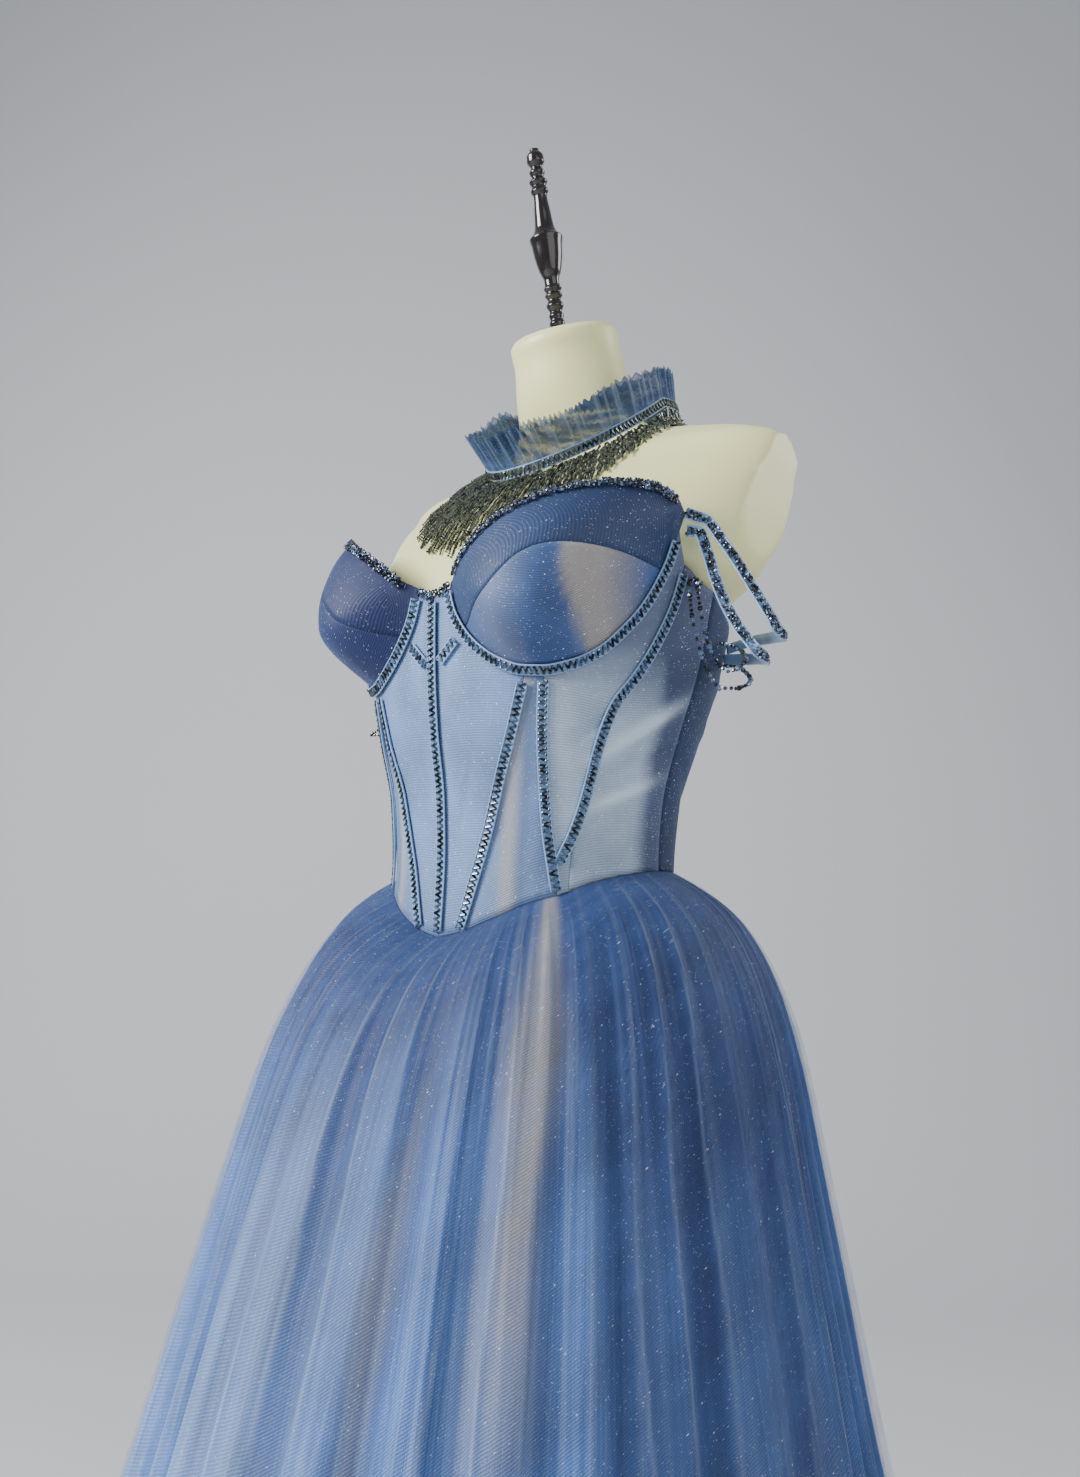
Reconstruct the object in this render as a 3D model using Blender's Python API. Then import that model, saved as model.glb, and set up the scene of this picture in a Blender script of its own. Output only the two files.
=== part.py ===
"""Ball gown on a limbless dress form, at real size in metres with +Z up.

The gown faces -Y and its own left side is +X. The origin is the middle of the stand's
foot on the floor. A place on the gown's cloth is given as (u, z): u is the angle round
the body in degrees, 0 at centre front, +90 at the left side and 180 at centre back.
"""

import math

import bmesh
import bpy
import numpy as np

MM = 0.001
SEAM_GAP = 0.35 * MM
BODICE_CLOTH = 1.5 * MM
SKIRT_CLOTH = 1.2 * MM
LINING_CLOTH = 1.0 * MM
RUFFLE_CLOTH = 1.0 * MM
TRIM_WIDTH = 8.6 * MM
TRIM_DEPTH = 1.8 * MM
TRIM_LIFT = 0.9 * MM
SIDES = {"left": 1, "right": -1}

# Bodice cloth without its cups, as level sections
BODICE_COLUMNS = ("z", "side", "front", "back")
BODICE_SECTIONS = [
    (0.950, 0.135, 0.118, 0.110),
    (1.000, 0.120, 0.1180, 0.094),
    (1.050, 0.112, 0.1165, 0.080),
    (1.100, 0.1155, 0.1195, 0.084),
    (1.150, 0.128, 0.1290, 0.101),
    (1.200, 0.143, 0.1345, 0.117),
    (1.250, 0.154, 0.1365, 0.123),
    (1.280, 0.160, 0.1330, 0.123),
    (1.300, 0.166, 0.1290, 0.122),
    (1.350, 0.173, 0.1120, 0.115),
]
BODICE_ROUNDNESS = 2.2

# Moulded cups: a dome on each side of the front
CUP_MIDDLE_U = 37.5
CUP_HALF_WIDTH_U = 33.4
CUP_FULL_Z = 1.238
CUP_LOWER_HEIGHT = 0.045
CUP_LOWER_EASE = 1.35
CUP_RISE = 0.105
CUP_DEPTH = 0.049
CUP_LEAN = (0.16, -0.985)

# Seam where the skirt is sewn on: level at the back, a long point at the front
WAIST_SEAM = [(0, 1.0000), (8, 1.0045), (20, 1.0145), (35, 1.0270), (45, 1.0325),
              (60, 1.0430), (75, 1.0490), (90, 1.0520), (180, 1.0520)]
SIDE_WAIST_Z = 1.052

# Seams of one half of the bodice, bottom to top, as (u, z)
CENTRE_SEAM = [(0, 1.000), (0, 1.060), (0, 1.130), (0, 1.190), (0, 1.251)]
PRINCESS_SEAM = [(8, 1.0045), (13.5, 1.042), (18.7, 1.078), (22.9, 1.113), (27.2, 1.148), (30.3, 1.1905)]
SIDE_FRONT_SEAM = [(45, 1.0325), (43.0, 1.055), (40.8, 1.079), (39.0, 1.114), (37.4, 1.148), (35.9, 1.1903)]
UNDERARM_SEAM = [(49.5, 1.0362), (51.2, 1.079), (55.2, 1.108), (57.7, 1.143), (60.4, 1.168),
                 (66.0, 1.190), (71.3, 1.217), (75.2, 1.247), (76.6, 1.274)]
SIDE_SEAM = [(90, 1.052), (89.6, 1.090), (89.7, 1.130), (90.4, 1.170), (91, 1.205), (91, 1.262)]
BACK_EDGE = [(173, 1.052), (173, 1.110), (173, 1.170), (173, 1.226)]
CUP_WIRE = [(4.6, 1.2545), (6.6, 1.236), (10.0, 1.221), (15.3, 1.207), (22.5, 1.196), (30.3, 1.1905),
            (35.9, 1.1903), (45.1, 1.195), (53.1, 1.205), (59.1, 1.2195), (64.3, 1.236), (68.4, 1.257),
            (70.6, 1.276), (71.2, 1.296)]
CUP_SEAM_START_U = 9.6
CUP_SEAM_END_U = 69.3
CUP_SEAM = [(10.8, 1.2233), (15.2, 1.2256), (19.5, 1.2290), (24.0, 1.2350), (30.0, 1.2490), (35.2, 1.2612),
            (40.5, 1.2675), (46.2, 1.2700), (52.8, 1.2707), (59.2, 1.2700), (64.5, 1.2680), (68.2, 1.2662)]
NECKLINE = [(4.6, 1.2585), (8.0, 1.2650), (12.0, 1.2760), (19.0, 1.2910), (28.0, 1.3055), (38.0, 1.3165),
            (50.0, 1.3240), (61.0, 1.3255), (68.0, 1.3200), (72.0, 1.3080)]
ARMHOLE = [(76.6, 1.274), (79.5, 1.2715), (84.0, 1.2660), (91, 1.262)]
BACK_TOP = [(91, 1.262), (105, 1.250), (125, 1.240), (150, 1.231), (173, 1.226)]

# Skirt outline: depth below the side waist, radius, height of the folds, room down to the lining
SKIRT_COLUMNS = ("depth", "radius", "fold", "lining_room")
SKIRT_SECTIONS = [
    (0.000, 0.1120, 0.0000, 0.0032),
    (0.012, 0.1330, 0.0004, 0.0040),
    (0.026, 0.1510, 0.0008, 0.0050),
    (0.042, 0.1650, 0.0014, 0.0062),
    (0.082, 0.1860, 0.0024, 0.0085),
    (0.130, 0.2010, 0.0036, 0.0110),
    (0.210, 0.2180, 0.0052, 0.0140),
    (0.290, 0.2345, 0.0068, 0.0170),
    (0.450, 0.2690, 0.0095, 0.0220),
    (0.700, 0.3440, 0.0135, 0.0300),
    (1.046, 0.4500, 0.0185, 0.0400),
]
SKIRT_FORWARD = 0.0345
SKIRT_FORWARD_DEPTH = 0.60
SKIRT_ROW_DEPTHS = (0.0, 0.012, 0.030, 0.062, 0.115, 0.200, 0.360, 0.620, 1.046)
LINING_ROW_DEPTHS = (0.002, 0.020, 0.060, 0.200, 0.600, 1.034)
SKIRT_HEM_Z = 0.006
FOLDS = 28
SKIRT_GORES = {"skirt_front": (-90, 90, 55), "skirt_back_left": (90, 180, 28), "skirt_back_right": (-180, -90, 28)}

LINING_GORES = {"lining_front": (-90, 90, 15), "lining_back_left": (90, 180, 8), "lining_back_right": (-180, -90, 8)}

# Dress form sections: half width, foremost y, rearmost y, y of the widest line, roundness, slope of the section
FORM_COLUMNS = ("z", "side", "front", "back", "middle", "roundness", "slope")
FORM_SECTIONS = [
    (0.862, 0.112, -0.080, 0.098, 0.000, 2.2, 0.00),
    (0.872, 0.128, -0.095, 0.112, 0.000, 2.2, 0.00),
    (0.900, 0.134, -0.100, 0.115, 0.000, 2.2, 0.00),
    (0.950, 0.1290, -0.1120, 0.1040, 0.000, 2.2, 0.00),
    (1.000, 0.1150, -0.1130, 0.0890, 0.000, 2.2, 0.00),
    (1.050, 0.1094, -0.1139, 0.0750, 0.000, 2.2, 0.00),
    (1.100, 0.1105, -0.1145, 0.0765, 0.000, 2.2, 0.00),
    (1.150, 0.1230, -0.1240, 0.0940, 0.000, 2.2, 0.00),
    (1.200, 0.1370, -0.1285, 0.1110, 0.002, 2.2, 0.00),
    (1.250, 0.1465, -0.1285, 0.1165, 0.008, 2.2, 0.00),
    (1.262, 0.1485, -0.1235, 0.1165, 0.016, 2.0, 0.00),
    (1.270, 0.1590, -0.1200, 0.1165, 0.022, 1.9, 0.00),
    (1.280, 0.1730, -0.1155, 0.1160, 0.026, 1.9, 0.00),
    (1.296, 0.1850, -0.1075, 0.1150, 0.030, 1.9, 0.00),
    (1.320, 0.1980, -0.0925, 0.1125, 0.037, 1.9, 0.00),
    (1.350, 0.2020, -0.0655, 0.1085, 0.047, 2.0, 0.00),
    (1.376, 0.2020, -0.0345, 0.1010, 0.056, 2.1, 0.00),
    (1.391, 0.1950, -0.0165, 0.0930, 0.052, 2.2, 0.00),
    (1.402, 0.1720, -0.0010, 0.0850, 0.046, 2.1, 0.00),
    (1.411, 0.1330, 0.0070, 0.0790, 0.040, 2.0, 0.02),
    (1.419, 0.0960, 0.0100, 0.0770, 0.040, 2.0, 0.06),
    (1.430, 0.0690, 0.0020, 0.0760, 0.037, 2.0, 0.12),
    (1.450, 0.0555, -0.0110, 0.0730, 0.031, 2.0, 0.18),
    (1.472, 0.0520, -0.0200, 0.0680, 0.025, 2.0, 0.26),
    (1.500, 0.0475, -0.0285, 0.0600, 0.017, 2.0, 0.34),
    (1.5135, 0.0470, -0.0340, 0.0550, 0.011, 2.0, 0.36),
    (1.5180, 0.0440, -0.0320, 0.0515, 0.010, 2.0, 0.36),
]
FORM_POINTS_ROUND = 30
ARM_PLATE_X = 0.1925
ARM_PLATE_LEVEL = 1.375
ARM_PLATE_SLOPE = 0.13

# Neck finial: height above the neck, radius
FINIAL_PROFILE = [
    (0.0, 0.0), (0.0, 7.5), (3.5, 8.2), (6.0, 6.2), (9.5, 7.0), (12.5, 5.8), (16.0, 6.6), (19.0, 5.4),
    (24.5, 7.6), (29.5, 5.6), (33.0, 7.8), (36.0, 6.2), (39.0, 8.0), (42.0, 6.6), (46.0, 6.6),
    (54.0, 9.4), (66.0, 12.2), (77.0, 13.6), (82.0, 14.6), (85.0, 11.6), (91.0, 8.6), (106.0, 7.0),
    (118.0, 5.8), (122.0, 7.8), (126.0, 6.2), (130.0, 8.0), (134.0, 5.2), (138.0, 6.8), (142.0, 4.8),
    (147.0, 7.6), (152.0, 7.2), (156.0, 4.0), (157.5, 0.0),
]
FINIAL_POINTS_ROUND = 10
FINIAL_LEAN = 15.0
FINIAL_OFFSET_Y = -0.006
FINIAL_LIFT = 1.1 * MM

# Stand
FOOT_RADIUS = 0.170
FOOT_HEIGHT = 0.014
HUB_RADIUS = 0.030
HUB_HEIGHT = 0.045
POLE_RADIUS = 0.0145

# Choker: a loose collar ring that lies tilted on the neck base
CHOKER_HALF_WIDTH = 0.0819
CHOKER_FRONT_REACH = 0.0945
CHOKER_BACK_REACH = 0.0778
CHOKER_MIDDLE_Y = 0.0471
CHOKER_MIDDLE_Z = 1.4490
CHOKER_FRONT_SLOPE = 0.785
CHOKER_BACK_SLOPE = 0.254
CHOKER_UPRIGHT = (0.0, -0.60, 0.80)
CHOKER_BAND_WIDTH = 8.6 * MM
CHOKER_BAND_DEPTH = 2.0 * MM
RUFFLE_WAVES = 36
RUFFLE_HEIGHT = [(0, 0.031), (60, 0.030), (110, 0.027), (180, 0.025)]
RUFFLE_FLARE = 0.12
FRINGE_STRANDS = 44
FRINGE_LENGTH = [(0, 0.108), (20, 0.100), (45, 0.080), (70, 0.052), (90, 0.034), (110, 0.026), (180, 0.020)]
FRINGE_STRAND = 2.0 * MM
FRINGE_LIFT = 4.6 * MM
FRINGE_FALL = 1.6
FRINGE_STEEPEST = 3.0

# Off-shoulder straps and bead strands of the left side: where each is sewn on, and its free route
SLEEVE_CENTRE = (0.100, 0.030)
STRAPS = {
    "upper_strap": {"front": (70.5, 1.3080), "back": (122, 1.233), "route": [
        (0.1738, -0.0380, 1.3029), (0.1870, -0.0375, 1.2852), (0.1995, -0.0370, 1.2662), (0.2101, -0.0370, 1.2486),
        (0.2206, -0.0380, 1.2320), (0.2275, -0.0375, 1.2195), (0.2290, -0.0280, 1.2139), (0.2189, -0.0080, 1.2180),
        (0.1984, 0.0200, 1.2250), (0.1786, 0.0450, 1.2310), (0.1560, 0.0660, 1.2360)]},
    "lower_strap": {"front": (72.5, 1.2960), "back": (112, 1.220), "route": [
        (0.1690, -0.0425, 1.2945), (0.1775, -0.0420, 1.2765), (0.1850, -0.0435, 1.2563), (0.1943, -0.0450, 1.2356),
        (0.2069, -0.0480, 1.2163), (0.2175, -0.0480, 1.2025), (0.2210, -0.0400, 1.1974), (0.2140, -0.0220, 1.1990),
        (0.1990, 0.0000, 1.2050), (0.1810, 0.0220, 1.2110), (0.1640, 0.0420, 1.2160)]},
}
# The right sleeve hangs further back and closer in: how far its lowest part moves in x and y
RIGHT_SWING = (-0.012, 0.046)
RIGHT_SWING_START = 0.014
RIGHT_SWING_HEIGHT = 0.050
STRAP_WIDTH = 9.0 * MM
STRAP_DEPTH = 1.6 * MM
STRANDS = {
    "outer_strand": {"front": (81.0, 1.2652), "back": (106, 1.213), "route": [
        (0.1635, -0.0440, 1.2560), (0.1700, -0.0500, 1.2308), (0.1789, -0.0550, 1.2072), (0.1891, -0.0600, 1.1863),
        (0.2005, -0.0610, 1.1738), (0.2075, -0.0550, 1.1740), (0.2080, -0.0420, 1.1780), (0.2020, -0.0240, 1.1850),
        (0.1900, -0.0040, 1.1930), (0.1760, 0.0140, 1.2010), (0.1630, 0.0300, 1.2080)]},
    "inner_strand": {"front": (84.0, 1.2637), "back": (101, 1.228), "route": [
        (0.1665, -0.0390, 1.2600), (0.1747, -0.0455, 1.2330), (0.1823, -0.0495, 1.2106), (0.1915, -0.0520, 1.1944),
        (0.1995, -0.0505, 1.1872), (0.2030, -0.0440, 1.1900), (0.2010, -0.0320, 1.1960), (0.1940, -0.0160, 1.2030),
        (0.1840, 0.0010, 1.2100), (0.1730, 0.0140, 1.2170), (0.1620, 0.0240, 1.2230)]},
}
STRAND_RADIUS = 1.7 * MM

# Back lacing: flat satin ribbon crossing between the back edges, tied in a bow
LACING_RUNGS = (1.1560, 1.1780, 1.2000)
LACING_RISE = 0.018
LACING_REACH_U = 11.0
RIBBON_WIDTH = 6.0 * MM
RIBBON_DEPTH = 0.5 * MM
BOW_Z = 1.141
BOW_LIFT = 2.0 * MM
BOW_LOOP = 0.052
BOW_LOOP_DROP = 0.016
BOW_LOOP_HEIGHT = 0.020
BOW_TAIL = 0.075

COLOURS = {
    "net_blue": ((0.13, 0.21, 0.36, 1.0), 0.62, 0.0),
    "cup_blue": ((0.10, 0.16, 0.28, 1.0), 0.60, 0.0),
    "skirt_blue": ((0.14, 0.25, 0.46, 1.0), 0.66, 0.0),
    "lining_beige": ((0.55, 0.50, 0.44, 1.0), 0.55, 0.0),
    "satin_blue": ((0.20, 0.33, 0.46, 1.0), 0.30, 0.0),
    "dark_bead": ((0.02, 0.03, 0.045, 1.0), 0.12, 0.3),
    "bugle_bead": ((0.12, 0.14, 0.12, 1.0), 0.15, 0.3),
    "cream_plastic": ((0.76, 0.76, 0.62, 1.0), 0.38, 0.0),
    "dark_wood": ((0.012, 0.008, 0.006, 1.0), 0.12, 0.0),
    "black_steel": ((0.02, 0.02, 0.022, 1.0), 0.35, 0.8),
}


def smooth(xs, ys, x):
    """Value at x of the smooth curve through (xs, ys) that never overshoots a row."""
    xs, ys, x = (np.asarray(v, float) for v in (xs, ys, x))
    step = np.diff(xs)
    slope = np.diff(ys) / step
    tangent = np.zeros_like(ys)
    for i in range(1, len(xs) - 1):
        if slope[i - 1] * slope[i] > 0:
            after, before = 2 * step[i] + step[i - 1], step[i] + 2 * step[i - 1]
            tangent[i] = (after + before) / (after / slope[i - 1] + before / slope[i])
    tangent[0], tangent[-1] = slope[0], slope[-1]
    i = np.clip(np.searchsorted(xs, x) - 1, 0, len(step) - 1)
    t = np.clip((x - xs[i]) / step[i], 0, 1)
    start = (1 + 2 * t) * (1 - t) ** 2 * ys[i] + t * (1 - t) ** 2 * step[i] * tangent[i]
    end = t * t * (3 - 2 * t) * ys[i + 1] + t * t * (t - 1) * step[i] * tangent[i + 1]
    return start + end


def column(table, names, wanted, x):
    """The named column of a section table at x, where the first column is x."""
    rows = np.array(table, float)
    return smooth(rows[:, 0], rows[:, names.index(wanted)], x)


def rounded(value, power):
    return np.sign(value) * np.abs(value) ** power


def body_point(u, z):
    """Point of the plain bodice cloth, without cups."""
    angle = np.radians(u)
    side = column(BODICE_SECTIONS, BODICE_COLUMNS, "side", z)
    front = column(BODICE_SECTIONS, BODICE_COLUMNS, "front", z)
    back = column(BODICE_SECTIONS, BODICE_COLUMNS, "back", z)
    across, along = np.sin(angle), np.cos(angle)
    depth = np.where(along > 0, front, back)
    power = 2 / BODICE_ROUNDNESS
    return np.stack([side * rounded(across, power), -depth * rounded(along, power), z + 0 * across], -1)


def cup_bulge(u, z):
    """How far a cup stands out of the plain bodice, 0 to 1; it starts at the wire line."""
    wire = np.array(CUP_WIRE, float)
    above_wire = z - smooth(wire[:, 0], wire[:, 1], np.abs(u))
    across = np.clip(1 - ((np.abs(u) - CUP_MIDDLE_U) / CUP_HALF_WIDTH_U) ** 2, 0, None)
    lower = 1 - (1 - np.clip(above_wire / CUP_LOWER_HEIGHT, 0, 1)) ** 2
    upper = 1 - np.clip((z - CUP_FULL_Z) / CUP_RISE, 0, 1) ** 2
    return across * lower**CUP_LOWER_EASE * upper


def bodice_surface(u, z):
    """Outer face of the bodice with its cups."""
    u, z = np.asarray(u, float), np.asarray(z, float)
    bulge = CUP_DEPTH * cup_bulge(u, z)
    lean = np.stack([np.sign(u) * CUP_LEAN[0] * bulge, CUP_LEAN[1] * bulge, 0 * bulge], -1)
    return body_point(u, z) + lean


def bodice_normal(u, z):
    """Direction straight out of the bodice cloth."""
    step_u, step_z = 0.4, 0.8 * MM
    u, z = np.asarray(u, float), np.asarray(z, float)
    around = bodice_surface(u + step_u, z) - bodice_surface(u - step_u, z)
    up = bodice_surface(u, z + step_z) - bodice_surface(u, z - step_z)
    normal = np.cross(around, up)
    return normal / np.linalg.norm(normal, axis=-1, keepdims=True)


def off_bodice(u, z, out):
    return bodice_surface(u, z) + out * bodice_normal(u, z)


def unit(vectors):
    return vectors / np.linalg.norm(vectors, axis=-1, keepdims=True)


def trace(points, count):
    """count places evenly spaced along the smooth line through (u, z) points."""
    points = np.array(points, float)
    metres_per_degree = 0.0023
    steps = np.hypot(np.diff(points[:, 0]) * metres_per_degree, np.diff(points[:, 1]))
    along = np.concatenate([[0], np.cumsum(steps)])
    wanted = np.linspace(0, along[-1], count)
    return np.stack([smooth(along, points[:, 0], wanted), smooth(along, points[:, 1], wanted)], -1)


def patch(bottom, right, top, left):
    """Grid of places that fills the area between four lines (a Coons patch)."""
    s = np.linspace(0, 1, len(bottom))[None, :, None]
    t = np.linspace(0, 1, len(left))[:, None, None]
    across = (1 - t) * bottom[None] + t * top[None]
    up = (1 - s) * left[:, None] + s * right[:, None]
    corners = (1 - s) * (1 - t) * bottom[0] + s * (1 - t) * bottom[-1] + (1 - s) * t * top[0] + s * t * top[-1]
    return across + up - corners


def inset(outer, inner, gap, ring=False):
    """Draws both faces of a wall back from its edges by gap."""
    edges = [(0, 1), (-1, -2)]
    for edge, beside in edges:
        shift = gap * unit(outer[beside] - outer[edge])
        outer[edge] += shift
        inner[edge] += shift
    if not ring:
        for edge, beside in edges:
            shift = gap * unit(outer[:, beside] - outer[:, edge])
            outer[:, edge] += shift
            inner[:, edge] += shift
    return outer, inner


def material(name):
    found = bpy.data.materials.get(name)
    if found:
        return found
    colour, roughness, metallic = COLOURS[name]
    made = bpy.data.materials.new(name)
    made.use_nodes = True
    shader = made.node_tree.nodes["Principled BSDF"]
    shader.inputs["Base Color"].default_value = colour
    shader.inputs["Roughness"].default_value = roughness
    shader.inputs["Metallic"].default_value = metallic
    return made


def add_object(name, points, faces, finish, sharp_angle=50):
    """A closed mesh with its faces pointing out, as one named object."""
    mesh = bpy.data.meshes.new(name)
    mesh.from_pydata([tuple(p) for p in points], [], faces)
    body = bmesh.new()
    body.from_mesh(mesh)
    bmesh.ops.recalc_face_normals(body, faces=body.faces)
    body.to_mesh(mesh)
    body.free()
    mesh.shade_smooth()
    mesh.set_sharp_from_angle(angle=math.radians(sharp_angle))
    mesh.materials.append(material(finish))
    made = bpy.data.objects.new(name, mesh)
    bpy.context.scene.collection.objects.link(made)
    return made


def wall(name, outer, inner, finish, ring=False):
    """A cloth wall between two grids of points; a ring closes on itself along its columns."""
    rows, columns = outer.shape[:2]
    last = columns if ring else columns - 1
    faces = []
    for face in (0, 1):
        start = face * rows * columns
        for i in range(rows - 1):
            for j in range(last):
                k = (j + 1) % columns
                faces.append([start + i * columns + j, start + i * columns + k,
                              start + (i + 1) * columns + k, start + (i + 1) * columns + j])
    offset = rows * columns
    for i in (0, rows - 1):
        for j in range(last):
            a, b = i * columns + j, i * columns + (j + 1) % columns
            faces.append([a, b, offset + b, offset + a])
    if not ring:
        for j in (0, columns - 1):
            for i in range(rows - 1):
                a, b = i * columns + j, (i + 1) * columns + j
                faces.append([a, b, offset + b, offset + a])
    points = np.concatenate([outer.reshape(-1, 3), inner.reshape(-1, 3)])
    return add_object(name, points, faces, finish)


def bar(name, route, facing, width, depth, finish, slant=(0, 0)):
    """A flat strip swept along a route; facing points out of its face, and slant cuts its ends aslant."""
    along = unit(np.gradient(route, axis=0))
    across = unit(np.cross(along, facing))
    facing = unit(np.cross(across, along))
    corners = [(-0.5, -0.5), (0.5, -0.5), (0.5, 0.5), (-0.5, 0.5)]
    points = np.stack([route + a * width * across + b * depth * facing for a, b in corners], 1)
    for end, amount in zip((0, -1), slant):
        points[end] += np.array([a for a, _ in corners])[:, None] * width * amount * along[end]
    points = points.reshape(-1, 3)
    count = len(route)
    faces = [[3, 2, 1, 0], [4 * (count - 1) + i for i in range(4)]]
    for i in range(count - 1):
        for j in range(4):
            k = (j + 1) % 4
            faces.append([4 * i + j, 4 * i + k, 4 * i + 4 + k, 4 * i + 4 + j])
    return add_object(name, points, faces, finish)


def spin(name, profile, points_round, finish):
    """A turned solid: profile is (radius, height) from the axis at the bottom to the axis at the top."""
    body = bmesh.new()
    line = [body.verts.new((r, 0, h)) for r, h in profile]
    edges = [body.edges.new(pair) for pair in zip(line, line[1:])]
    bmesh.ops.spin(body, geom=line + edges, cent=(0, 0, 0), axis=(0, 0, 1),
                   angle=2 * math.pi, steps=points_round, use_merge=True)
    bmesh.ops.remove_doubles(body, verts=body.verts, dist=0.01 * MM)
    bmesh.ops.recalc_face_normals(body, faces=body.faces)
    mesh = bpy.data.meshes.new(name)
    body.to_mesh(mesh)
    body.free()
    mesh.shade_smooth()
    mesh.set_sharp_from_angle(angle=math.radians(40))
    mesh.materials.append(material(finish))
    made = bpy.data.objects.new(name, mesh)
    bpy.context.scene.collection.objects.link(made)
    return made


def mirrored(places, side):
    places = np.array(places, float)
    places[:, 0] *= side
    return places


def bodice_panel(name, bottom, right, top, left, finish="net_blue"):
    """A piece of bodice cloth between four seam lines of (u, z) places."""
    grid = patch(bottom, right, top, left)
    outer = off_bodice(grid[..., 0], grid[..., 1], 0.0)
    inner = off_bodice(grid[..., 0], grid[..., 1], -BODICE_CLOTH)
    outer, inner = inset(outer, inner, SEAM_GAP / 2)
    return wall(name, outer, inner, finish)


def waist_z(u):
    rows = np.array(WAIST_SEAM, float)
    return smooth(rows[:, 0], rows[:, 1], np.abs(u))


def waist_line(start, end, count):
    u = np.linspace(start, end, count)
    return np.stack([u, waist_z(u)], -1)


def between(line, low, high, count):
    """The stretch of a seam from share low to share high of its length."""
    return trace(trace(line, 61)[int(round(low * 60)):int(round(high * 60)) + 1], count)


def wire_stretches():
    """The wire line in five stretches that bodice and cup pieces share point for point."""
    fine = trace(CUP_WIRE, 241)
    stops = [0.0, CUP_SEAM_START_U, PRINCESS_SEAM[-1][0], SIDE_FRONT_SEAM[-1][0], CUP_SEAM_END_U, 90.0]
    marks = [int(np.argmin(np.abs(fine[:, 0] - u))) for u in stops]
    return [trace(fine[low:high + 1], count) for low, high, count in zip(marks, marks[1:], (3, 6, 5, 5, 3))]


def join(*lines):
    """Lines end to end, each shared point once."""
    return np.vstack([line if n == 0 else line[1:] for n, line in enumerate(lines)])


def build_bodice(side_name, side):
    """The cut pieces of one half of the bodice."""
    front_rows, side_rows = 7, 13
    start, inner, middle, outer, end = wire_stretches()
    inner_wire = np.vstack([[CENTRE_SEAM[-1]], join(start, inner)])
    middle_wire = middle
    centre, princess = trace(CENTRE_SEAM, front_rows), trace(PRINCESS_SEAM, front_rows)
    side_front, underarm = trace(SIDE_FRONT_SEAM, front_rows), trace(UNDERARM_SEAM, side_rows)
    side_seam, back_edge = trace(SIDE_SEAM, side_rows), trace(BACK_EDGE, side_rows)
    round_cup = join(side_front, outer, end)
    across = 5
    pieces = {
        "centre_front": (waist_line(0, 8, len(inner_wire)), princess, inner_wire, centre),
        "side_front": (waist_line(8, 45, len(middle_wire)), side_front, middle_wire, princess),
        "under_cup": (waist_line(45, 49.5, across), underarm, trace([round_cup[-1], underarm[-1]], across), round_cup),
        "side": (waist_line(49.5, 90, 6), side_seam, trace(ARMHOLE, 6), underarm),
        "back": (waist_line(90, 173, 8), back_edge, trace(BACK_TOP, 8), side_seam),
    }
    for name, lines in pieces.items():
        bottom, right, top, left = (mirrored(line, side) for line in lines)
        bodice_panel(f"bodice_{name}_{side_name}", bottom, right, top, left)


def build_cup(side_name, side):
    """Lower cup inside the wire line, and upper cup from the cross seam to the neckline."""
    start, inner, middle, outer, end = wire_stretches()
    lower_wire = join(inner, middle, outer)
    cross = trace(CUP_SEAM, len(lower_wire))
    ends = [trace([lower_wire[i], cross[i]], 5) for i in (0, -1)]
    bottom, right, top, left = (mirrored(line, side) for line in (lower_wire, ends[1], cross, ends[0]))
    bodice_panel(f"cup_lower_{side_name}", bottom, right, top, left, "cup_blue")
    bottom = np.vstack([start, cross, end])
    top = trace(NECKLINE, len(bottom))
    lines = (bottom, trace([bottom[-1], top[-1]], 4), top, trace([bottom[0], top[0]], 4))
    bottom, right, top, left = (mirrored(line, side) for line in lines)
    bodice_panel(f"cup_upper_{side_name}", bottom, right, top, left, "cup_blue")


def trim(name, places, side, width=TRIM_WIDTH, depth=TRIM_DEPTH, lift=TRIM_LIFT, finish="satin_blue",
         slant=(0, 0)):
    """A bead-trimmed band laid over the bodice cloth along (u, z) places, resting on both its edges."""
    places = mirrored(places, side)
    u, z = places[:, 0], places[:, 1]
    middle = bodice_surface(u, z)
    along = unit(np.gradient(middle, axis=0))
    around = (bodice_surface(u + 0.4, z) - bodice_surface(u - 0.4, z)) / 0.8
    across = unit(np.cross(along, unit(np.cross(around, along) * [1, 1, 0])))
    step_u = width / 2 * np.sum(across * around, -1) / np.sum(around * around, -1)
    step_z = width / 2 * across[:, 2]
    right, left = bodice_surface(u + step_u, z + step_z), bodice_surface(u - step_u, z - step_z)
    facing = unit(np.cross(right - left, along))
    facing = facing * np.sign(np.sum(facing * bodice_normal(u, z), -1))[:, None]
    rest = (right + left) / 2
    crown = np.clip(np.sum((middle - rest) * facing, -1), 0, None)
    route = rest + (crown + lift + depth / 2)[:, None] * facing
    slant = (slant[0] * side, slant[1] * side)
    return bar(name, route, facing, width, depth, finish, slant)


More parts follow.
